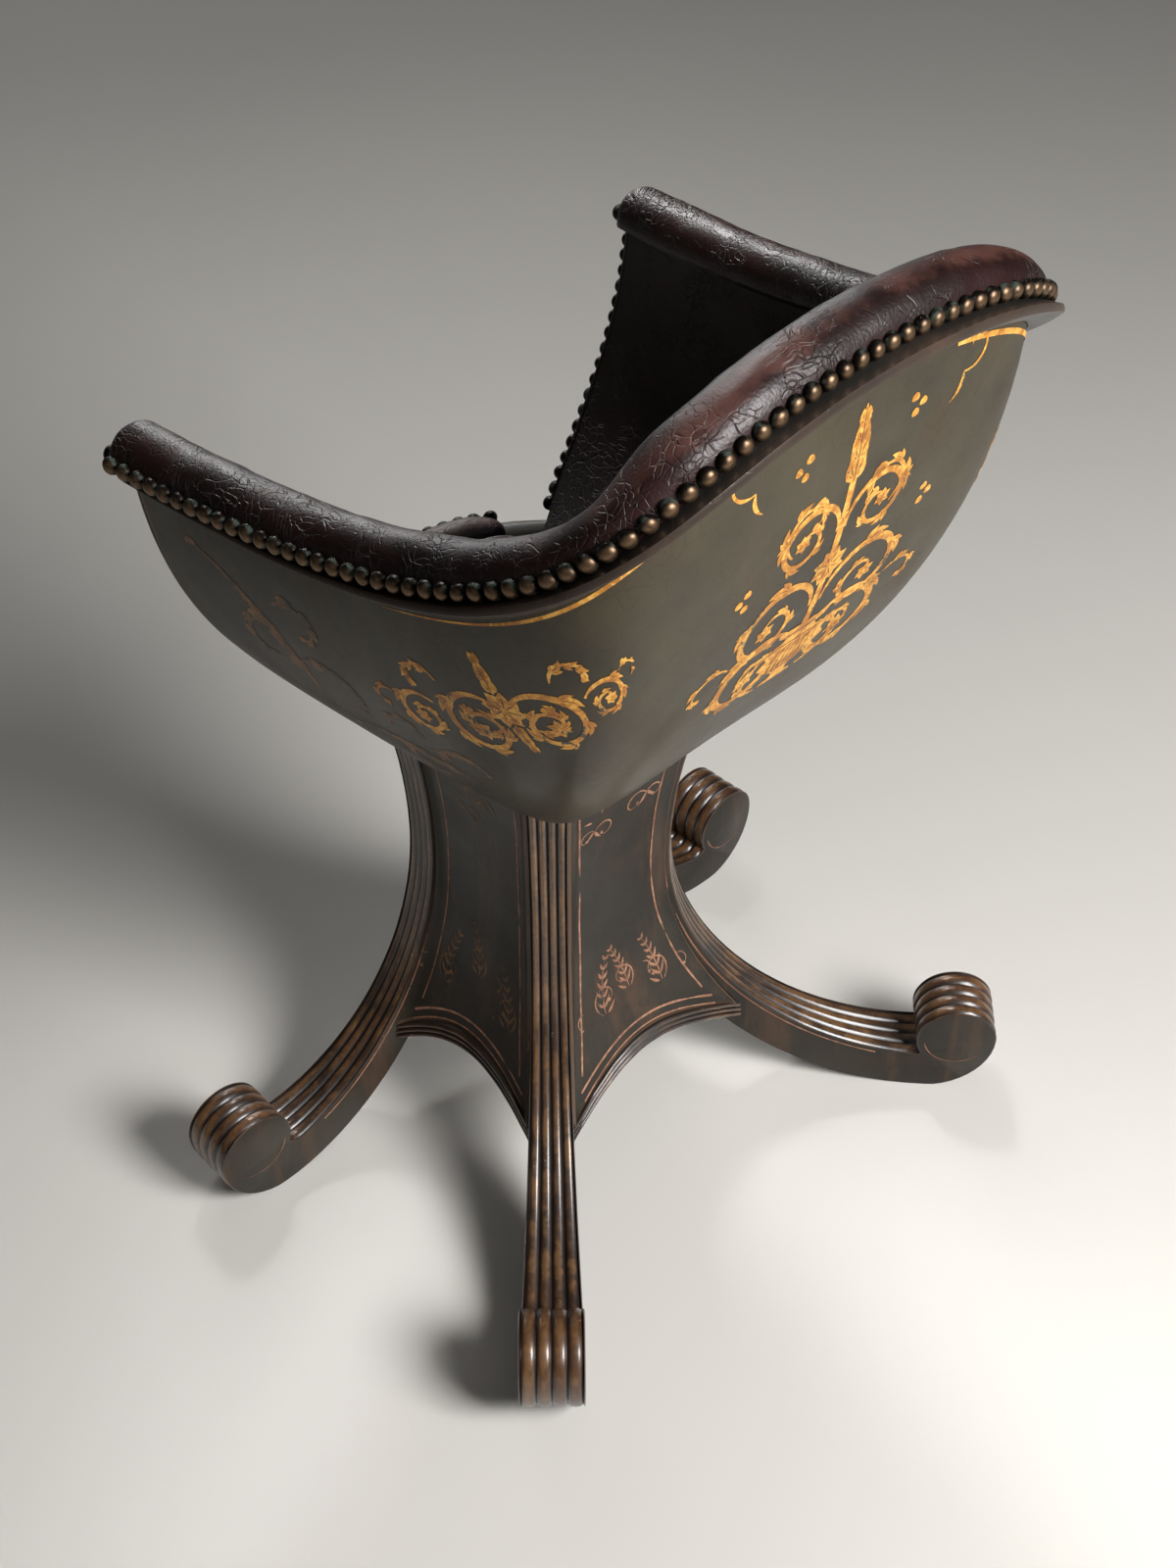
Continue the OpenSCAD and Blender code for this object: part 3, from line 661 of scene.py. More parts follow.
def paintStroke(bm, surface, path, wide, kind="line", lift=0.16):
    n = len(path) - 1

    def put(u, v):
        i = round(v * n)
        p = path[i]
        d = (path[min(n, i + 1)] - path[max(0, i - 1)]).normalized()
        w = wide * strokeWidth(v, kind) * (1 + 0.16 * noise.noise(Vector((p.x, p.y, wide)) / 7))
        return surface(p + Vector((-d.y, d.x)) * ((u - 0.5) * w), lift + (0.1 if 0.2 < u < 0.8 else 0))

    addGrid(bm, 2, n, put)


for hand, side in hands:
    makeLeg(hand + "BackLeg", "back_" + hand + "_leg", legs["back"], side)
    makeLeg(hand + "FrontLeg", "front_" + hand + "_leg", legs["front"], side)
print("legs made")


def legLines():
    # a copper line on both cheeks of every leg, beside the reeds
    bm = bmesh.new()
    for leg in (legs["back"], legs["front"]):
        outline, faceCount = legOutline(leg)
        for side in (1, -1):
            origin, reach, over = legPlane(leg, side)
            for cheek in (1, -1):
                def cheekSurface(p, lift):
                    beside = cheek * (legHalf(p.x, leg) + lift * 0.6)
                    return origin + reach * p.x + up * p.y + over * beside
                path = []
                for i in range(1, faceCount - 3):
                    s, z, _ = outline[i]
                    d = (Vector(outline[i + 1][:2]) - Vector(outline[i - 1][:2])).normalized()
                    path.append(Vector((s + d.y * legs["lineDeep"], z - d.x * legs["lineDeep"])))
                paintStroke(bm, cheekSurface, path, legs["lineWide"])
                r, turns = legs["ringRadius"], [math.radians(190 + 6 * k) for k in range(22)]
                ring = [Vector((leg["reach"] + r * math.cos(a), legs["scrollHeight"] + r * math.sin(a)))
                        for a in turns]
                paintStroke(bm, cheekSurface, ring, 0.9, "curl", 0.1)
    finishPaint("legLines", bm, "copper")


legLines()


# column panels and their arches
panels = {"thick": 9, "archHeight": 80, "archRise": 24, "archDeep": 15, "archOut": 4, "cove": 10,
          "coveOut": 3.2, "lineIn": 11, "lineWide": 1.5, "lineFoot": 104, "lineTop": 12}


def panelReach(z, leg):
    if z >= chair["waist"]:
        return legFace(z, leg) - 6
    share = (chair["waist"] - z) / (chair["waist"] - panels["archHeight"])
    return leg["waist"] - 6 + (leg["reach"] / 6 + 7) * share**2.2


def ribPoint(z, side, deep, leg):
    origin, reach, over = legPlane(leg, 1)
    s = panelReach(z, leg) - deep
    return origin + reach * s + over * (side * (legHalf(s, leg) + 0.1)) + up * z


def panelEnds(kind, z, deep):
    back, front = legs["back"], legs["front"]
    if kind == "back":
        p = ribPoint(z, 1, deep, back)
        return Vector((-p.x, p.y, p.z)), p
    if kind == "side":
        return ribPoint(z, -1, deep, back), ribPoint(z, 1, deep, front)
    x = min(legBack(z, front), front["waist"] + 45) - 1
    y = -front["off"] + deep / 2 - legs["ribWidth"] / 2 + 4 - x * math.tan(math.radians(-front["turn"]))
    return Vector((x, y, z)), Vector((-x, y, z))


def panelPoint(kind, u, z, deep):
    a, b = panelEnds(kind, z, deep * 1.4)
    return a + (b - a) * u


def archLine(u):
    return panels["archHeight"] + panels["archRise"] * 4 * u * (1 - u)


outwards = {"back": Vector((0, 1, 0)), "side": Vector((1, 0, 0)), "front": Vector((0, -1, 0))}


def panelSurface(kind, side):
    # x across from the panel's middle, y the height, both in millimetres
    def surface(p, lift):
        a, b = panelEnds(kind, p.y, 0)
        wide = (b - a).length
        u = 0.5 + p.x / wide
        q = a + (b - a) * u + outwards[kind] * (lift + coveLift(clamp(min(u, 1 - u)) * wide))
        return Vector((q.x * side, q.y, q.z))
    return surface


def coveLift(distance):
    return panels["coveOut"] * max(0, 1 - distance / panels["cove"])**2


def makePanel(name, node, kind, side):
    def put(u, v):
        t = 0.5 - 0.5 * math.cos(math.pi * u)
        low = archLine(t)
        z = low + (chair["columnTop"] - low) * v**1.25
        a, b = panelEnds(kind, z, 0)
        wide = (b - a).length
        lift = coveLift(min(t, 1 - t) * wide) + wobble((t * wide, z, 5), 30, 0.5)
        p = a + (b - a) * t + outwards[kind] * lift
        return Vector((p.x * side, p.y, p.z))

    def edge(u, v):
        return max(0, 1 - min(u, 1 - u) * 9, 1 - v * 12)

    bm = bmesh.new()
    addGrid(bm, 26, 34, put, {"edge": edge})
    piece = finishPiece(name, bm, "column", 0, [node], outward=False)
    away = Vector((outwards[kind].x * side, outwards[kind].y, 0))
    if sum(face.normal.dot(away) for face in piece.data.polygons) < 0:
        piece.data.flip_normals()
    board = piece.modifiers.new("thickness", "SOLIDIFY")
    board.thickness, board.offset = panels["thick"] / 1000 * 0.8, -1


def archSection():
    # closed outline of the moulding: (depth behind the panel's face, height under the arch line, crest)
    h, o = panels["archDeep"], panels["archOut"]
    rows = [(panels["thick"], -h, 0), (0.5, -h, 0.2)]
    for k in range(3):
        for j in range(7):
            x = -1 + j / 3
            crest = math.sqrt(max(0, 1 - x * x))
            deep = -o * 0.25 - o * 0.7 * crest * (1.05 - 0.12 * k)
            rows.append((deep, -h + h * (k + j / 6) / 3, crest))
    return rows + [(0.5, 0, 0.2), (panels["thick"], 0, 0)]


def makeArch(name, node, kind, side):
    rows = archSection()
    n = len(rows)

    def put(u, v):
        deep, height, _ = rows[round(u * n) % n]
        p = panelPoint(kind, v, archLine(v), deep) + up * height
        p += outwards[kind] * wobble(p, 14, 0.4)
        return Vector((p.x * side, p.y, p.z))

    makeClosed(name, "reeds", node, 50, n, 30, put,
               {"crest": lambda u, v: rows[round(u * n) % n][2] * 0.8})


def panelLines(name, kind, side):
    bm = bmesh.new()
    surface = panelSurface(kind, side)
    foot, top = panels["lineFoot"], chair["columnTop"] - panels["lineTop"]
    for hand in (1, -1):
        path = []
        for i in range(40):
            z = foot + (top - foot) * i / 39
            a, b = panelEnds(kind, z, 0)
            shake = 1.2 * noise.noise(Vector((z / 40, hand, len(name))))
            inner = (b - a).length / 2 - panels["lineIn"] - shake
            path.append(Vector((hand * inner, z)))
        paintStroke(bm, surface, path, panels["lineWide"])
    low = []
    for i in range(31):
        t = 0.06 + 0.88 * i / 30
        z = archLine(t) + 9
        a, b = panelEnds(kind, z, 0)
        low.append(Vector(((t - 0.5) * (b - a).length, z)))
    paintStroke(bm, surface, low, panels["lineWide"])
    if kind != "front":
        low = [p - Vector((0, 6)) for p in low]
        paintStroke(bm, surface, low, 0.9)
    finishPaint(name, bm, "copper")


columnSides = (("back", "back", 1), ("front", "front", 1), ("left", "side", 1), ("right", "side", -1))
for name, kind, side in columnSides:
    makePanel(name + "Panel", name + "_panel", kind, side)
    makeArch(name + "Arch", name + "_arch", kind, side)
    panelLines(name + "PanelLines", kind, side)
print("column made")


# the bowl: shell, apron, moulding
bowl = {"cells": 150, "rows": 34, "apronCells": 40, "apronRows": 14, "lipCells": 130, "lipThin": 7,
        "middle": (0, 40, 520)}


def shellEdge(u, v):
    return max(0, 1 - (1 - v) * 22, 1 - v * 26, 1 - (1 - abs(2 * u - 1)) * 60)


def shellPlace(u, row, inset):
    return wall(2 * u - 1, row**0.9, inset)


makeSlab("seatShell", "shell", "seat_shell", 40, bowl["cells"], bowl["rows"], shellPlace,
         chair["shellThick"], {"edge": shellEdge})
makeSlab("frontApron", "shell", "front_apron", 40, bowl["apronCells"], bowl["apronRows"],
         lambda u, row, inset: apron(1 - 2 * u, row, inset), chair["shellThick"],
         {"edge": lambda u, v: max(0, 1 - v * 8, 1 - (1 - v) * 12)})


def mouldingProfile(s):
    # closed section of the lip under the nails: wide at the back and thin at the arms
    b = math.cos(math.pi / 2 * clamp(abs(s) / rimLength))**1.2
    h = bowl["lipThin"] + (chair["lipHeight"] - bowl["lipThin"]) * b
    x = 1.5 + (chair["lipOut"] - 1.5) * b
    w = 0.1 - chair["shellIn"]
    rows = [(w, 0), (w, -h * 0.5), (w, -h)]
    for i in range(1, 11):
        t = i / 10
        rows.append((w * (1 - t)**2 + 2 * (w + (x - w) * 0.55) * t * (1 - t) + x * t * t,
                     -h * (1 - t)**2 - 2 * h * 0.9 * t * (1 - t) - h * 0.3 * t * t))
    rows += [(x - 0.3, -h * 0.12), (x - 1.2, 0)]
    return rows


def makeMoulding():
    n = len(mouldingProfile(0))
    span = rimLength - chair["frontSet"]

    def put(u, v):
        s = (2 * v - 1) * span
        x, z = mouldingProfile(s)[round(u * n) % n]
        x += wobble((s, x, z), 30, 0.25 if x > 0 else 0)
        return rim(s) - up * (chair["shellDrop"] - z) + out(s) * x

    makeClosed("rimMoulding", "lip", "rim_moulding", 45, n, bowl["lipCells"], put,
               {"edge": lambda u, v: 0.9 if round(u * n) % n > n - 5 else 0.25})


makeMoulding()
print("bowl made")


# leather: roll, lining, bindings, front roll, pad
leather = {"rollCells": 190, "rollRows": 26, "endCells": 9, "pucker": 0.75, "dents": 1.3,
           "liningCells": 120, "liningRows": 20, "bindingThick": 4, "bindingCells": 40,
           "frontRollWidth": 28, "frontRollHeight": 15, "frontCells": 70, "frontRows": 20,
           "padEdge": 16, "padCrown": 15, "padPoints": 96, "welt": 2.6}


def pucker(s, a):
    # how far the leather is pulled in between two nails, near the nailed edge
    return leather["pucker"] * (1 - math.cos(math.tau * s / chair["nailPitch"])) / 2 * clamp(1 - a / 1.1)


def stretched(s):
    if abs(s) <= rimLength:
        return rim(s)
    end = math.copysign(rimLength, s)
    return rim(end) + along(s) * (s - end)


def roundEnd(s):
    if abs(s) <= rimLength:
        return 1
    return math.sqrt(max(0.0009, 1 - ((abs(s) - rimLength) / chair["rollEnd"])**2))


def makeRoll():
    cells, rows, endCells = leather["rollCells"], leather["rollRows"], leather["endCells"]
    turns = [math.pi / 2 * k / endCells for k in range(endCells, 0, -1)]
    runs = [rimLength + chair["rollEnd"] * math.sin(a) for a in turns]
    runs = [-s for s in runs] + [rimLength * (2 * i / cells - 1) for i in range(cells + 1)] + runs[::-1]
    n = rows + 5
    lastRun = len(runs) - 1

    def put(u, v):
        s = runs[round(v * lastRun)]
        j = round(u * n) % n
        k, o = roundEnd(s), out(s)
        half = chair["rollWidth"] / 2
        centre = stretched(s) - o * (half - 2) - up * (chair["shellDrop"] - chair["gap"])
        if j > rows:
            return centre - o * (half * k * (1 - 2 * (j - rows) / (n - rows)))
        a = math.pi * j / rows
        high = chair["rollHeight"] * k**0.7 * max(0, math.sin(a))**0.8
        p = centre + o * (half * k * math.cos(a)) + up * high
        inner = math.sin(a)**0.6 if 0 < j < rows else 0
        dent = leather["dents"] * (noise.noise(p / 34) + 0.5 * noise.noise(p / 13))
        dent -= abs(noise.noise(p / 60)) * 1.2
        return p + (o * math.cos(a) + up * math.sin(a)) * (min(0, dent - 0.4) * inner - pucker(s, a) * k)

    # crown of the roll for the paler leather: scuff wear along its top, raised about 120 mm either side
    # of the back's middle as a painted sheen
    def crown(u, v):
        j = round(u * n) % n
        s = runs[round(v * lastRun)]
        lift = math.sin(math.pi * j / rows)**2 if j <= rows else 0
        return lift * (0.55 + 0.45 * clamp(1 - abs(abs(s) - 120) / 140))

    makeClosed("rimRoll", "roll", "rim_roll", 0, n, lastRun, put,
                         {"edge": crown})


def liningPlace(u, row, inset):
    w = 2 * u - 1
    low = chair["boardTop"] + leather["padEdge"] * 0.6
    if not inset:
        deep = chair["shellThick"] + chair["gap"]
        return wall(w, level(w, low, deep) * row, deep)
    v = level(w, low, liningIn) * row
    p = wall(w, v, lined(w, v))
    if 0 < row < 1:
        puff = math.sin(math.pi * row)**0.5
        inward = (Vector(bowl["middle"]) - p).normalized()
        p += inward * (wobble(p, 55, 2.0) + wobble(p, 20, 0.7) - 1.0) * puff * 0.6
    return p


def makeBinding(hand, side):
    rows = [(0, 0.1), (0, 0.55), (0.06, 0.85), (0.2, 1), (0.5, 1.06), (0.8, 1), (0.94, 0.85), (1, 0.55),
            (1, 0.1), (0.66, 0), (0.33, 0)]
    n = len(rows)

    def put(u, v):
        x, fore = rows[round(u * n) % n]
        ahead = chair["gap"] + leather["bindingThick"] * fore * 0.98
        p = wall(1, apronTop * v, lined(1, apronTop * v) * x) - Vector((0, ahead, 0))
        p.y += wobble((p.z, x * 20, 3), 9, 0.35) if fore > 0.5 else 0
        return Vector((p.x * side, p.y, p.z))

    makeClosed(hand + "ArmBinding", "roll", hand + "_arm_binding", 60, n,
               leather["bindingCells"], put,
               {"edge": lambda u, v: clamp(rows[round(u * n) % n][1] * 1.3 - 0.7)})


armV = level(1, chair["frontHeight"] + leather["frontRollHeight"] / 2, liningIn)
frontHalf = wall(1, armV, lined(1, armV)).x


def makeFrontRoll():
    half = frontHalf - 3
    wide, high = leather["frontRollWidth"], leather["frontRollHeight"]
    rows = leather["frontRows"]
    n = rows + 4

    def put(u, v):
        x = half * math.sin(math.pi / 2 * (2 * v - 1))
        j = round(u * n) % n
        k = math.sqrt(1 - min(1, abs(x) / half)**10 * 0.8)
        way = frontWay(x, 0.5)
        c = Vector((x, frontLine(x, 0), chair["frontHeight"] + chair["gap"])) - way * (wide / 2 - 2)
        if j > rows:
            return c - way * (wide / 2 * k * (1 - 2 * (j - rows) / (n - rows)))
        a = math.pi * j / rows
        p = c + way * (wide / 2 * k * math.cos(a)) + up * (high * k * max(0, math.sin(a))**0.8)
        return p - way * (0.8 * pucker(x, a)) + up * (min(0, noise.noise(p / 20) - 0.3) * math.sin(a))

    crown = {"edge": lambda u, v: max(0, math.sin(math.pi * u * n / rows))**2 * 0.8}
    makeClosed("frontRoll", "roll", "front_roll", 0, n, leather["frontCells"], put,
                         crown)


def bowlOutline(z, inset, deep, n):
    # inside of the lining at one height, closed by a line behind the front edge
    def at(u):
        return wall(u, level(u, z, inset), inset + chair["seatFill"] * atFront(u))

    def behindFront(u):
        p = at(u)
        return p.y > frontLine(min(p.x, limit), deep) + 1

    limit = apron(1, 0, deep).x
    cut = max(i / 100 for i in range(50, 101) if behindFront(i / 100))
    side = [Vector(at(cut * i / n)[:2]) for i in range(n, -n - 1, -1)]
    front = [-side[0].x * i / 8 * 0.97 for i in range(8, -9, -1)]
    return side + [Vector((x, frontLine(x, deep))) for x in front]


def evenLoop(points, count):
    # the same closed loop with evenly spaced points
    closed = points + [points[0]]
    runs = runsAlong(closed)
    return [pointAt(closed, runs, runs[-1] * i / count) for i in range(count)]


def softLoop(points, turns):
    n = len(points)
    for _ in range(turns):
        points = [(points[i - 1] + points[i] * 2 + points[(i + 1) % n]) / 4 for i in range(n)]
    return points


def makePad():
    height, gap = leather["padEdge"], chair["gap"]
    n = leather["padPoints"]
    inset, deep = liningIn + gap + 0.5, leather["frontRollWidth"] + gap + 1
    outline = softLoop(evenLoop(bowlOutline(chair["boardTop"] + height * 0.7, inset, deep, 40), n), 3)
    middle = Vector((0, (max(p.y for p in outline) + min(p.y for p in outline)) / 2))
    base = chair["boardTop"] + gap
    side = [(0.30, 0), (0.7, 0), (0.94, 0), (0.972, 0.16), (0.992, 0.42), (0.995, 0.7), (0.985, 0.9)]
    top = [(k, height + leather["padCrown"] * (1 - k**3)) for k in
           (0.965, 0.93, 0.87, 0.8, 0.72, 0.63, 0.53, 0.43, 0.33, 0.23, 0.13, 0.04)]
    rings = [(k, z * height) for k, z in side] + top
    rows = len(rings) - 1

    def put(u, v):
        p = outline[round(u * n) % n]
        k, z = rings[round(v * rows)]
        q = middle + (p - middle) * k
        soft = 0 if z < height * 0.5 else wobble((q.x, q.y, 0), 45, 1.5) - 1.2
        return Vector((q.x, q.y, base + z + soft * (1 - k)))

    crown = {"edge": lambda u, v: clamp(rings[round(v * rows)][1] / 30) * 0.8}
    makeClosed("seatPad", "pad", "seat_pad", 0, n, rows, put, crown)

    def weltPut(u, v):
        i = round(u * n)
        p = outline[i % n]
        d = (outline[(i + 1) % n] - outline[(i - 1) % n]).normalized()
        a = math.tau * v
        centre = middle + (p - middle) * 0.972
        r = leather["welt"]
        return Vector((centre.x + d.y * r * math.cos(a), centre.y - d.x * r * math.cos(a),
                       base + height * 0.96 + r * math.sin(a)))

    bm = bmesh.new()
    addGrid(bm, n, 10, weltPut, {"edge": lambda u, v: 0.9}, wrap=True)
    finishPiece("padWelt", bm, "pad", 0)


makeRoll()
makeSlab("innerLining", "lining", "inner_lining", 50, leather["liningCells"],
                   leather["liningRows"], liningPlace, chair["liningThick"],
                   {"edge": lambda u, v: 0})
for hand, side in hands:
    makeBinding(hand, side)
makeFrontRoll()
makePad()
print("leather made")


# nails
nails = {"sides": 14, "tip": (52, 90, 128), "out": 2.0, "up": 4, "tilt": 5}
nailRows = [(0, -0.4), (0.92, -0.4), (1, 0.06), (0.96, 0.3), (0.82, 0.62), (0.55, 0.88), (0.25, 0.985),
            (0, 1)]


def addNail(bm, point, way):
    rows = len(nailRows) - 1
    tilt = math.radians(nails["tilt"])
    way = (way.normalized() + Vector([random.uniform(-tilt, tilt) for _ in range(3)])).normalized()
    sideWay = way.orthogonal().normalized()
    upWay = way.cross(sideWay)
    size = chair["nailWidth"] / 2 * random.uniform(0.96, 1.0)
    high = chair["nailHeight"] * random.uniform(0.9, 1.0)
    flat = random.uniform(-0.06, 0.06)

    def put(u, v):
        r, h = nailRows[round(v * rows)]
        a = math.tau * u
        ring = sideWay * math.cos(a) * (1 + flat) + upWay * math.sin(a) * (1 - flat)
        return point + ring * (r * size) + way * (h * high)

    addGrid(bm, nails["sides"], rows, put, {"crest": lambda u, v: max(0, nailRows[round(v * rows)][1])})


def finishNails(name, bm, node):
    bmesh.ops.remove_doubles(bm, verts=bm.verts, dist=2e-6)
    finishPiece(name, bm, "nails", 60, [node])


def evenly(points, first, pitch):
    # points at an even pitch, as near the given one as the path allows
    runs = runsAlong(points)
    length = runs[-1] - first
    count = math.floor(length / pitch)
    return [pointAt(points, runs, first + length * i / count) for i in range(count + 1)]


def mirrored(p, side):
    return Vector((p.x * side, p.y, p.z))


for hand, side in hands:
    bm = bmesh.new()
    count = math.floor(rimLength / chair["nailPitch"])
    for i in range(1, count + 1):
        s = rimLength * i / count
        addNail(bm, mirrored(rim(s) + out(s) * nails["out"], side), mirrored(out(s), side))
    o, a, half = out(rimLength), along(rimLength), chair["rollWidth"] / 2
    for b in nails["tip"]:
        w = math.radians(b)
        at = rim(rimLength) + o * (math.cos(w) * half - half + nails["out"])
        at += a * (math.sin(w) * chair["rollEnd"])
        way = o * (math.cos(w) * chair["rollEnd"]) + a * (math.sin(w) * half)
        addNail(bm, mirrored(at, side), mirrored(way, side))
    finishNails(hand + "RimNails", bm, hand + "_rim_nails")
    bm = bmesh.new()
    fore = Vector((0, chair["gap"] + leather["bindingThick"], 0))
    steps = [apronTop * i / 24 for i in range(25)]
    edge = [wall(1, v, lined(1, v) - chair["nailWidth"] / 2) - fore for v in steps]
    for p in evenly(edge, chair["nailPitch"] * 0.8, chair["nailPitch"]):
        addNail(bm, mirrored(p, side), Vector((0, -1, 0)))
    finishNails(hand + "ArmNails", bm, hand + "_arm_nails")
bm = bmesh.new()
addNail(bm, rim(0) + out(0) * nails["out"], out(0))
finishNails("backNail", bm, "back_nail")
bm = bmesh.new()
step = (frontHalf - chair["nailWidth"] / 2) / 20
edge = [Vector((x, frontLine(x, 0), chair["frontHeight"] + nails["up"])) + frontWay(x) * nails["out"]
        for x in [step * i for i in range(-20, 21)]]
for p in evenly(edge, 0, chair["nailPitch"]):
    addNail(bm, p, frontWay(p.x))
finishNails("frontNails", bm, "front_nails")
print("nails made")


# gilt painting: leaf scrolls made of single strokes, laid on the shell
def sweep(start, heading, length, bend, tighten=0.0):
    # a path that turns by bend degrees; tighten winds its end up into a curl
    steps = max(5, round(length / 2.2))
    p, path = Vector(start), [Vector(start)]
    weights = [1 - tighten * i / steps for i in range(steps)]
    scale = length / sum(weights)
    for w in weights:
        heading += bend / steps
        p = p + Vector((math.cos(math.radians(heading)), math.sin(math.radians(heading)))) * (w * scale)
        path.append(p)
    return path


def headingAt(path, i):
    d = path[min(len(path) - 1, i + 1)] - path[max(0, i - 1)]
    return math.degrees(math.atan2(d.y, d.x))


class Motif:
    def __init__(self):
        self.gold, self.shade = [], []

    def leaf(self, start, heading, length, bend, wide):
        path = sweep(start, heading, length, bend)
        self.gold.append((path, wide, "leaf"))
        self.shade.append((path[1:-2], max(0.5, wide * 0.13), "curl"))

    def stem(self, start, heading, length, bend, tighten, wide, leaves=0, leafSize=15, outer=1, bud=2.6):
        path = sweep(start, heading, length, bend, tighten)
        self.gold.append((path, wide, "curl"))
        for k in range(leaves):
            i = round(len(path) * (0.14 + 0.56 * k / max(1, leaves - 1)))
            h = headingAt(path, i)
            size = leafSize * (1 - 0.09 * k)
            self.leaf(path[i], h + outer * 34, size, -outer * 55, size * 0.36)
            self.leaf(path[i], h + outer * 66, size * 0.66, -outer * 30, size * 0.27)
            if k % 2 == 0:
                self.leaf(path[i], h - outer * 38, size * 0.55, outer * 60, size * 0.24)
        if bud:
            self.dot(path[-1], bud)
        return path

    def scroll(self, start, heading, length, bend, wide, leaves, leafSize, outer, bloom):
        end = self.stem(start, heading, length, bend, 0.9, wide, leaves, leafSize, outer, 0)[-1]
        self.flower(end, bloom)

    def frond(self, start, heading, length, bend, wide, lobes):
        # a broad acanthus leaf: a middle blade and pairs of lobes
        path = sweep(start, heading, length, bend, 0.3)
        self.gold.append((path, wide * 0.7, "leaf"))
        self.shade.append((path[1:-1], 1.0, "curl"))
        for k in range(lobes):
            i = round(len(path) * (0.08 + 0.62 * k / max(1, lobes - 1)))
            h, size = headingAt(path, i), wide * (1.0 - 0.13 * k)
            for side in (1, -1):
                self.leaf(path[i], h + side * 40, size, -side * 46, size * 0.46)
                self.leaf(path[i], h + side * 66, size * 0.62, -side * 30, size * 0.34)

    def urn(self, low, high, wide):
        a, b = Vector(low), Vector(high)
        self.gold.append(([a.lerp(b, i / 24) for i in range(25)], wide, "urn"))
        for k in (-3, -2, -1, 0, 1, 2, 3):
            flute = [a.lerp(b, 0.26 + 0.44 * i / 9) + Vector((wide * 0.125 * k * urnShape[4][1] * (
                0.8 + 0.5 * math.sin(math.pi * (0.3 + 0.5 * i / 9))), 0)) for i in range(10)]
            self.shade.append((flute, 0.9, "curl"))
        for share, half in ((0.24, 0.36), (0.75, 0.68), (0.9, 0.5)):
            c = a.lerp(b, share)
            band = [c + Vector((wide * half * (i / 8 - 0.5), 0)) for i in range(9)]
            self.shade.append((band, 1.1, "line"))

    def dot(self, centre, radius):
        path = [Vector(centre) + Vector((0, -radius * math.cos(math.pi * i / 6))) for i in range(7)]
        self.gold.append((path, radius * 1.9, "leaf"))

    def flower(self, centre, radius, petals=6):
        for k in range(petals):
            self.leaf(centre, 360 * k / petals + 15, radius, 20, radius * 0.62)
        self.dot(centre, radius * 0.22)

    def twin(self):
        # the same strokes on the other side of the middle line
        for group in (self.gold, self.shade):
            group += [([Vector((-p.x, p.y)) for p in path], wide, kind) for path, wide, kind in group]


def backMotif():
    # an urn from which leafy scrolls rise in pairs, each wound round a flower
    m = Motif()
    m.stem((16, -98), 4, 76, 300, 0.8, 4.0, 5, 14, -1, 2.8)
    m.scroll((10, -50), 48, 176, -590, 5.8, 7, 18, 1, 8)
    m.scroll((4, -30), 92, 172, -590, 5.2, 6, 17, 1, 7)
    m.scroll((3, 24), 100, 128, -560, 4.4, 5, 14, 1, 6)
    m.stem((36, 24), 34, 60, 300, 0.8, 2.8, 4, 13, -1, 2.6)
    m.stem((60, -44), 50, 40, -220, 0.8, 2.4, 3, 10, 1, 2.2)
    for x, y in ((66, 8), (71, 13), (66, 18), (40, 78), (45, 83), (38, 88)):
        m.dot((x, y), 2.6)
    m.twin()
    m.gold.append((sweep((0, -46), 90, 104, 0), 4.2, "line"))
    m.frond((0, 52), 90, 50, 0, 16, 4)
    m.urn((0, -100), (0, -46), 44)
    m.flower((0, -2), 13, 8)
    return m


def sideMotif():
    # leafy scrolls that run out to both sides of a flower
    m = Motif()
    m.scroll((6, 4), 46, 170, -590, 5.6, 6, 19, 1, 9)
    m.scroll((62, 0), 52, 118, -560, 4.8, 6, 16, 1, 7)
    m.stem((46, 20), 78, 46, -230, 0.8, 2.8, 4, 13, -1, 2.6)
    m.stem((10, -14), -60, 50, 250, 0.8, 2.8, 4, 12, -1, 2.4)
    m.stem((100, 4), 40, 30, -200, 0.8, 2.0, 3, 9, 1, 2.0)
    m.twin()
    m.flower((0, 0), 16, 8)
    m.frond((0, 13), 90, 32, 0, 12, 3)
    m.frond((0, -13), -90, 26, 0, 10, 3)
    return m


def armMotif():
    # loose rising branch for the arms
    m = Motif()
    m.stem((0, -50), 80, 112, 70, 0.3, 3.0, 8, 17, 1, 2.6)
    m.stem((4, -26), 34, 66, -190, 0.6, 2.4, 5, 13, -1, 2.2)
    m.stem((2, -2), 140, 56, 200, 0.6, 2.2, 4, 12, -1, 2.2)
    m.stem((10, 16), 40, 50, -240, 0.7, 2.0, 4, 11, 1, 2.0)
    return m


def sprigMotif():
    # the small traditional sprig of the column: two curls and four leaves
    m = Motif()
    m.stem((0, 0), 70, 38, -330, 0.8, 1.5, 0, bud=1.5)
    m.stem((0, 0), 112, 27, 290, 0.8, 1.4, 0, bud=1.4)
    m.leaf((0, 0), -70, 12, 30, 3.0)
    m.leaf((-1, 1), -115, 10, -30, 2.8)
    m.leaf((5, 17), 70, 11, 20, 2.8)
    m.leaf((-4, 12), 150, 9, 20, 2.6)
    return m


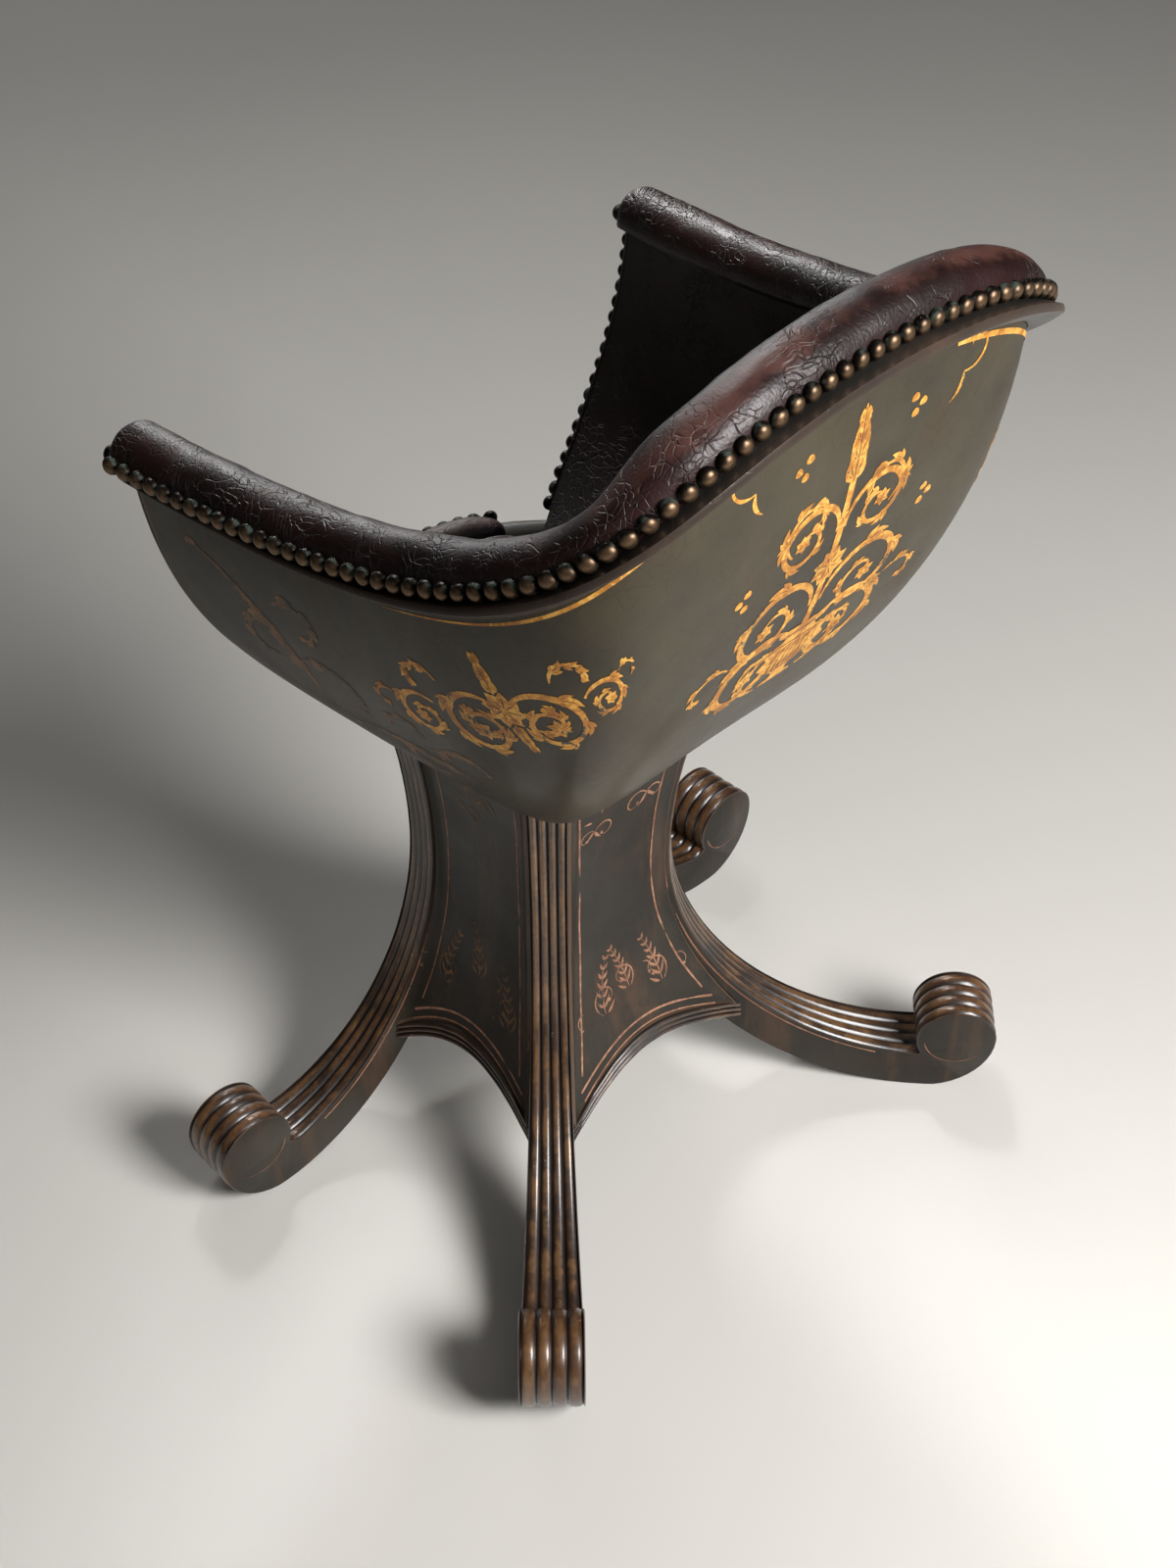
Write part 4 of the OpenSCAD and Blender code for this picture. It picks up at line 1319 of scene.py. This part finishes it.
def tuftMotif():
    # low plant for the foot of a panel: a fern and a curling stem beside it
    m = Motif()
    path = sweep((0, 0), 88, 40, -24)
    m.gold.append((path, 1.2, "curl"))
    for k in range(6):
        i = 2 + 3 * k
        if i < len(path):
            h = headingAt(path, i)
            m.leaf(path[i], h + 52, 9.5 - k, -24, 2.0)
            m.leaf(path[i], h - 52, 9.5 - k, 24, 2.0)
    m.stem((-2, 0), 150, 40, -320, 0.8, 1.3, 0, bud=1.3)
    m.stem((-17, 10), 170, 14, 150, 0.5, 1.1, 0, bud=1.1)
    m.leaf((2, 0), 20, 10, 30, 2.2)
    return m


def shellTree():
    bm = bmesh.new()
    addGrid(bm, 240, 90, lambda u, v: wall(2 * u - 1, v**0.9, 0))
    bmesh.ops.recalc_face_normals(bm, faces=bm.faces)
    tree = BVHTree.FromBMesh(bm)
    bm.free()
    return tree


outerShell = shellTree()


def shellSurface(u, v, turn=0.0, size=1.0):
    # flat plane touching the shell at (u, v), brought down on to the shell
    centre = wall(u, v, 0)
    rightWay = (wall(u - 0.01, v, 0) - wall(u + 0.01, v, 0)).normalized()
    upWay = wall(u, v - 0.01, 0) - wall(u, v + 0.01, 0)
    face = rightWay.cross(upWay).normalized()
    upWay = face.cross(rightWay)
    c, s = math.cos(math.radians(turn)), math.sin(math.radians(turn))
    rightWay, upWay = rightWay * c + upWay * s, upWay * c - rightWay * s

    def surface(p, lift):
        q = toFrame(centre + rightWay * (p.x * size) + upWay * (p.y * size))
        hit, normal, _, _ = outerShell.find_nearest(q)
        if normal.dot(q - toFrame((0, bowl["middle"][1], q.z * 1000))) < 0:
            normal = -normal
        return fromFrame(hit + normal * (lift / 1000))
    return surface


def paintStrokes(name, strokes, surfaces, finish, bold=1.0, lift=0.16):
    bm = bmesh.new()
    for surface in surfaces:
        for path, wide, kind in strokes:
            paintStroke(bm, surface, path, wide * bold, kind, lift)
    finishPaint(name, bm, finish)


def paintMotif(name, motif, surfaces):
    # the gold, then the finer drawing over it
    paintStrokes(name, motif.gold, surfaces, "gold", painting["bold"])
    veins = [stroke for stroke in motif.shade if len(stroke[0]) > 2]
    paintStrokes(name + "Veins", veins, surfaces, "shade", lift=0.34)


# each place: across the wall, down the wall, turn in degrees, size
painting = {"back": (0.0, 0.25, 0, 1.08), "side": (0.47, 0.2, 4, 0.9), "arm": (0.82, 0.2, 12, 1.1),
            "low": (0.63, 0.4, 60, 0.9), "bold": 1.15, "fadedBold": 1.9,
            "lineLift": 0.2}


def paintedPlace(name, side):
    u, v, turn, size = painting[name]
    return shellSurface(side * u, v, side * turn, size)


paintMotif("backScrollwork", backMotif(), [paintedPlace("back", 1)])
for hand, side in hands:
    paintMotif(hand + "Scrollwork", sideMotif(), [paintedPlace("side", side)])
    paintStrokes(hand + "ArmBranch", armMotif().gold, [paintedPlace(at, side) for at in ("arm", "low")],
                 "faded", painting["fadedBold"])


def shellLines():
    # two thin copper lines over the shell's foot
    bm = bmesh.new()

    def flat(p):
        q = wall(p.x, p.y, 0)
        n = (wall(p.x + 0.002, p.y, 0) - q).cross(wall(p.x, p.y + 0.002, 0) - q).normalized()
        if n.dot(Vector((q.x, q.y - 20, 0))) < 0:
            n = -n
        return q + n * painting["lineLift"]

    for offset, wide in ((8, 1.5), (14, 0.8)):
        for hand in (1, -1):
            def over(u, v):
                x = hand * 0.985 * v
                shift = (u - 0.5) * wide + 0.5 * noise.noise(Vector((v * 30, offset, hand)))
                return flat(Vector((x, level(x, chair["columnTop"] + offset + shift, 0))))
            addGrid(bm, 1, 260, over)
    finishPaint("shellLines", bm, "copper")

    # a gold line close under the lip, tapering out on the way to the arms and ending in a curl
    bm = bmesh.new()
    for hand in (1, -1):
        def under(u, v):
            x = hand * (0.13 + 0.5 * v)
            b = math.cos(math.pi / 2 * abs(x))**1.2
            z = shellTop(x, 0).z - (bowl["lipThin"] + (chair["lipHeight"] - bowl["lipThin"]) * b) - 6.5
            wide = 3.4 * math.sin(math.pi * clamp(0.12 + 0.88 * v)**0.6) + 0.4
            return flat(Vector((x, level(x, z + (0.5 - u) * wide, 0))))
        addGrid(bm, 2, 140, under)
        start = shellSurface(hand * 0.15, 0.075)
        curl = sweep((0, 0), 196 if hand > 0 else -16, 46, -hand * 300, 0.82)
        paintStroke(bm, start, curl, 2.6, "curl")
        paintStroke(bm, start, sweep((0, 0), -60 - 60 * (hand > 0), 20, hand * 80), 3.4, "leaf")
    finishPaint("lipLine", bm, "gold")


shellLines()

# sprigs of each panel: across, height, hand, size
sprigs = {"back": [(-24, 306, 1, 1.0), (24, 300, -1, 0.9), (-30, 128, 1, 1.1), (26, 132, -1, 1.1),
                   (0, 140, 1, 1.0)],
          "side": [(-6, 316, 1, 1.0), (12, 296, -1, 0.8), (-34, 126, 1, 1.1), (34, 126, -1, 1.1),
                   (0, 148, 1, 1.0)],
          "front": [(0, 320, 1, 1.0), (-26, 140, 1, 1.0), (26, 140, -1, 1.0)]}


def paintSprigs(name, kind, side, finish):
    bm = bmesh.new()
    base = panelSurface(kind, side)
    for x, z, hand, size in sprigs[kind]:
        def moved(p, lift):
            return base(Vector((x + p.x * hand * size, z + p.y * size)), lift)
        motif = sprigMotif() if z > 200 else tuftMotif()
        for path, wide, stroke in motif.gold:
            paintStroke(bm, moved, path, wide, stroke)
    finishPaint(name, bm, finish)


for name, kind, side in columnSides:
    paintSprigs(name + "PanelSprigs", kind, side, "faded" if kind == "side" else "copper")
print("painting made")


# CAD nodes that stay
for node, finish in (("column_top_plate", "wood"), ("column_brace", "wood"), ("seat_board", "wood"),
                     ("board_screws", "steel")):
    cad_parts[node].data.materials.clear()
    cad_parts[node].data.materials.append(finishes[finish])


# floor, camera and light
studio = {
    "camera": (0.7565, 0.8164, 1.2949), "look": (-0.5159, -0.5296, -0.6733), "lens": 49.93,
    "floor": (0.71, 0.685, 0.64), "world": 0.022,
    "key": {"at": (-0.25, 1.75, 1.55), "size": 0.9, "power": 73, "to": (0, 0, 0.35)},
    "fill": {"at": (2.0, 0.6, 1.9), "size": 1.8, "power": 2.0, "to": (0, 0, 0.35)},
    "top": {"at": (-0.2, 0.1, 2.6), "size": 1.4, "power": 1.0, "to": (0, 0, 0.35)},
    "far": {"at": (-0.6, -2.6, 1.7), "size": 1.6, "power": 4, "to": (0.1, -1.7, 0)},
    "front": {"at": (-1.3, -2.1, 1.15), "size": 1.1, "power": 1.6, "to": (0, 0, 0.5), "spread": 60},
    "seat": {"at": (-0.7, -1.1, 1.8), "size": 0.4, "power": 0.8, "to": (0, 0.03, 0.52), "spread": 28},
}

bm = bmesh.new()
bmesh.ops.create_grid(bm, x_segments=2, y_segments=2, size=9)
floorMesh = bpy.data.meshes.new("floor")
bm.to_mesh(floorMesh)
bm.free()
floor = linked("floor", floorMesh)
paint = Finish("floorPaint", Roughness=0.6)
paint.wire(Base_Color=paint.mix(paint.noise(1.7, 3).over(0.5, 0.3) * 0.5, studio["floor"],
                                tuple(c * 0.93 for c in studio["floor"])))
floorMesh.materials.append(paint.material)

cameraData = bpy.data.cameras.new("camera")
cameraData.sensor_width = 36
cameraData.lens = studio["lens"]
camera = linked("camera", cameraData)
x, y, z = studio["camera"]
camera.location = (x, y + axisY, z)
camera.rotation_euler = Vector(studio["look"]).to_track_quat("-Z", "Y").to_euler()
bpy.context.scene.camera = camera

for name in ("key", "fill", "top", "far", "front", "seat"):
    lamp = studio[name]
    data = bpy.data.lights.new(name, "AREA")
    data.size, data.energy = lamp["size"], lamp["power"]
    data.spread = math.radians(lamp.get("spread", 180))
    light = linked(name, data)
    light.location = lamp["at"]
    light.rotation_euler = (Vector(lamp["to"]) - Vector(lamp["at"])).to_track_quat("-Z", "Y").to_euler()

world = bpy.data.worlds.new("studio")
world.use_nodes = True
world.node_tree.nodes["Background"].inputs["Color"].default_value = (1.0, 0.96, 0.90, 1)
world.node_tree.nodes["Background"].inputs["Strength"].default_value = studio["world"]
bpy.context.scene.world = world
bpy.context.scene.view_settings.view_transform = "Standard"
print("studio set")
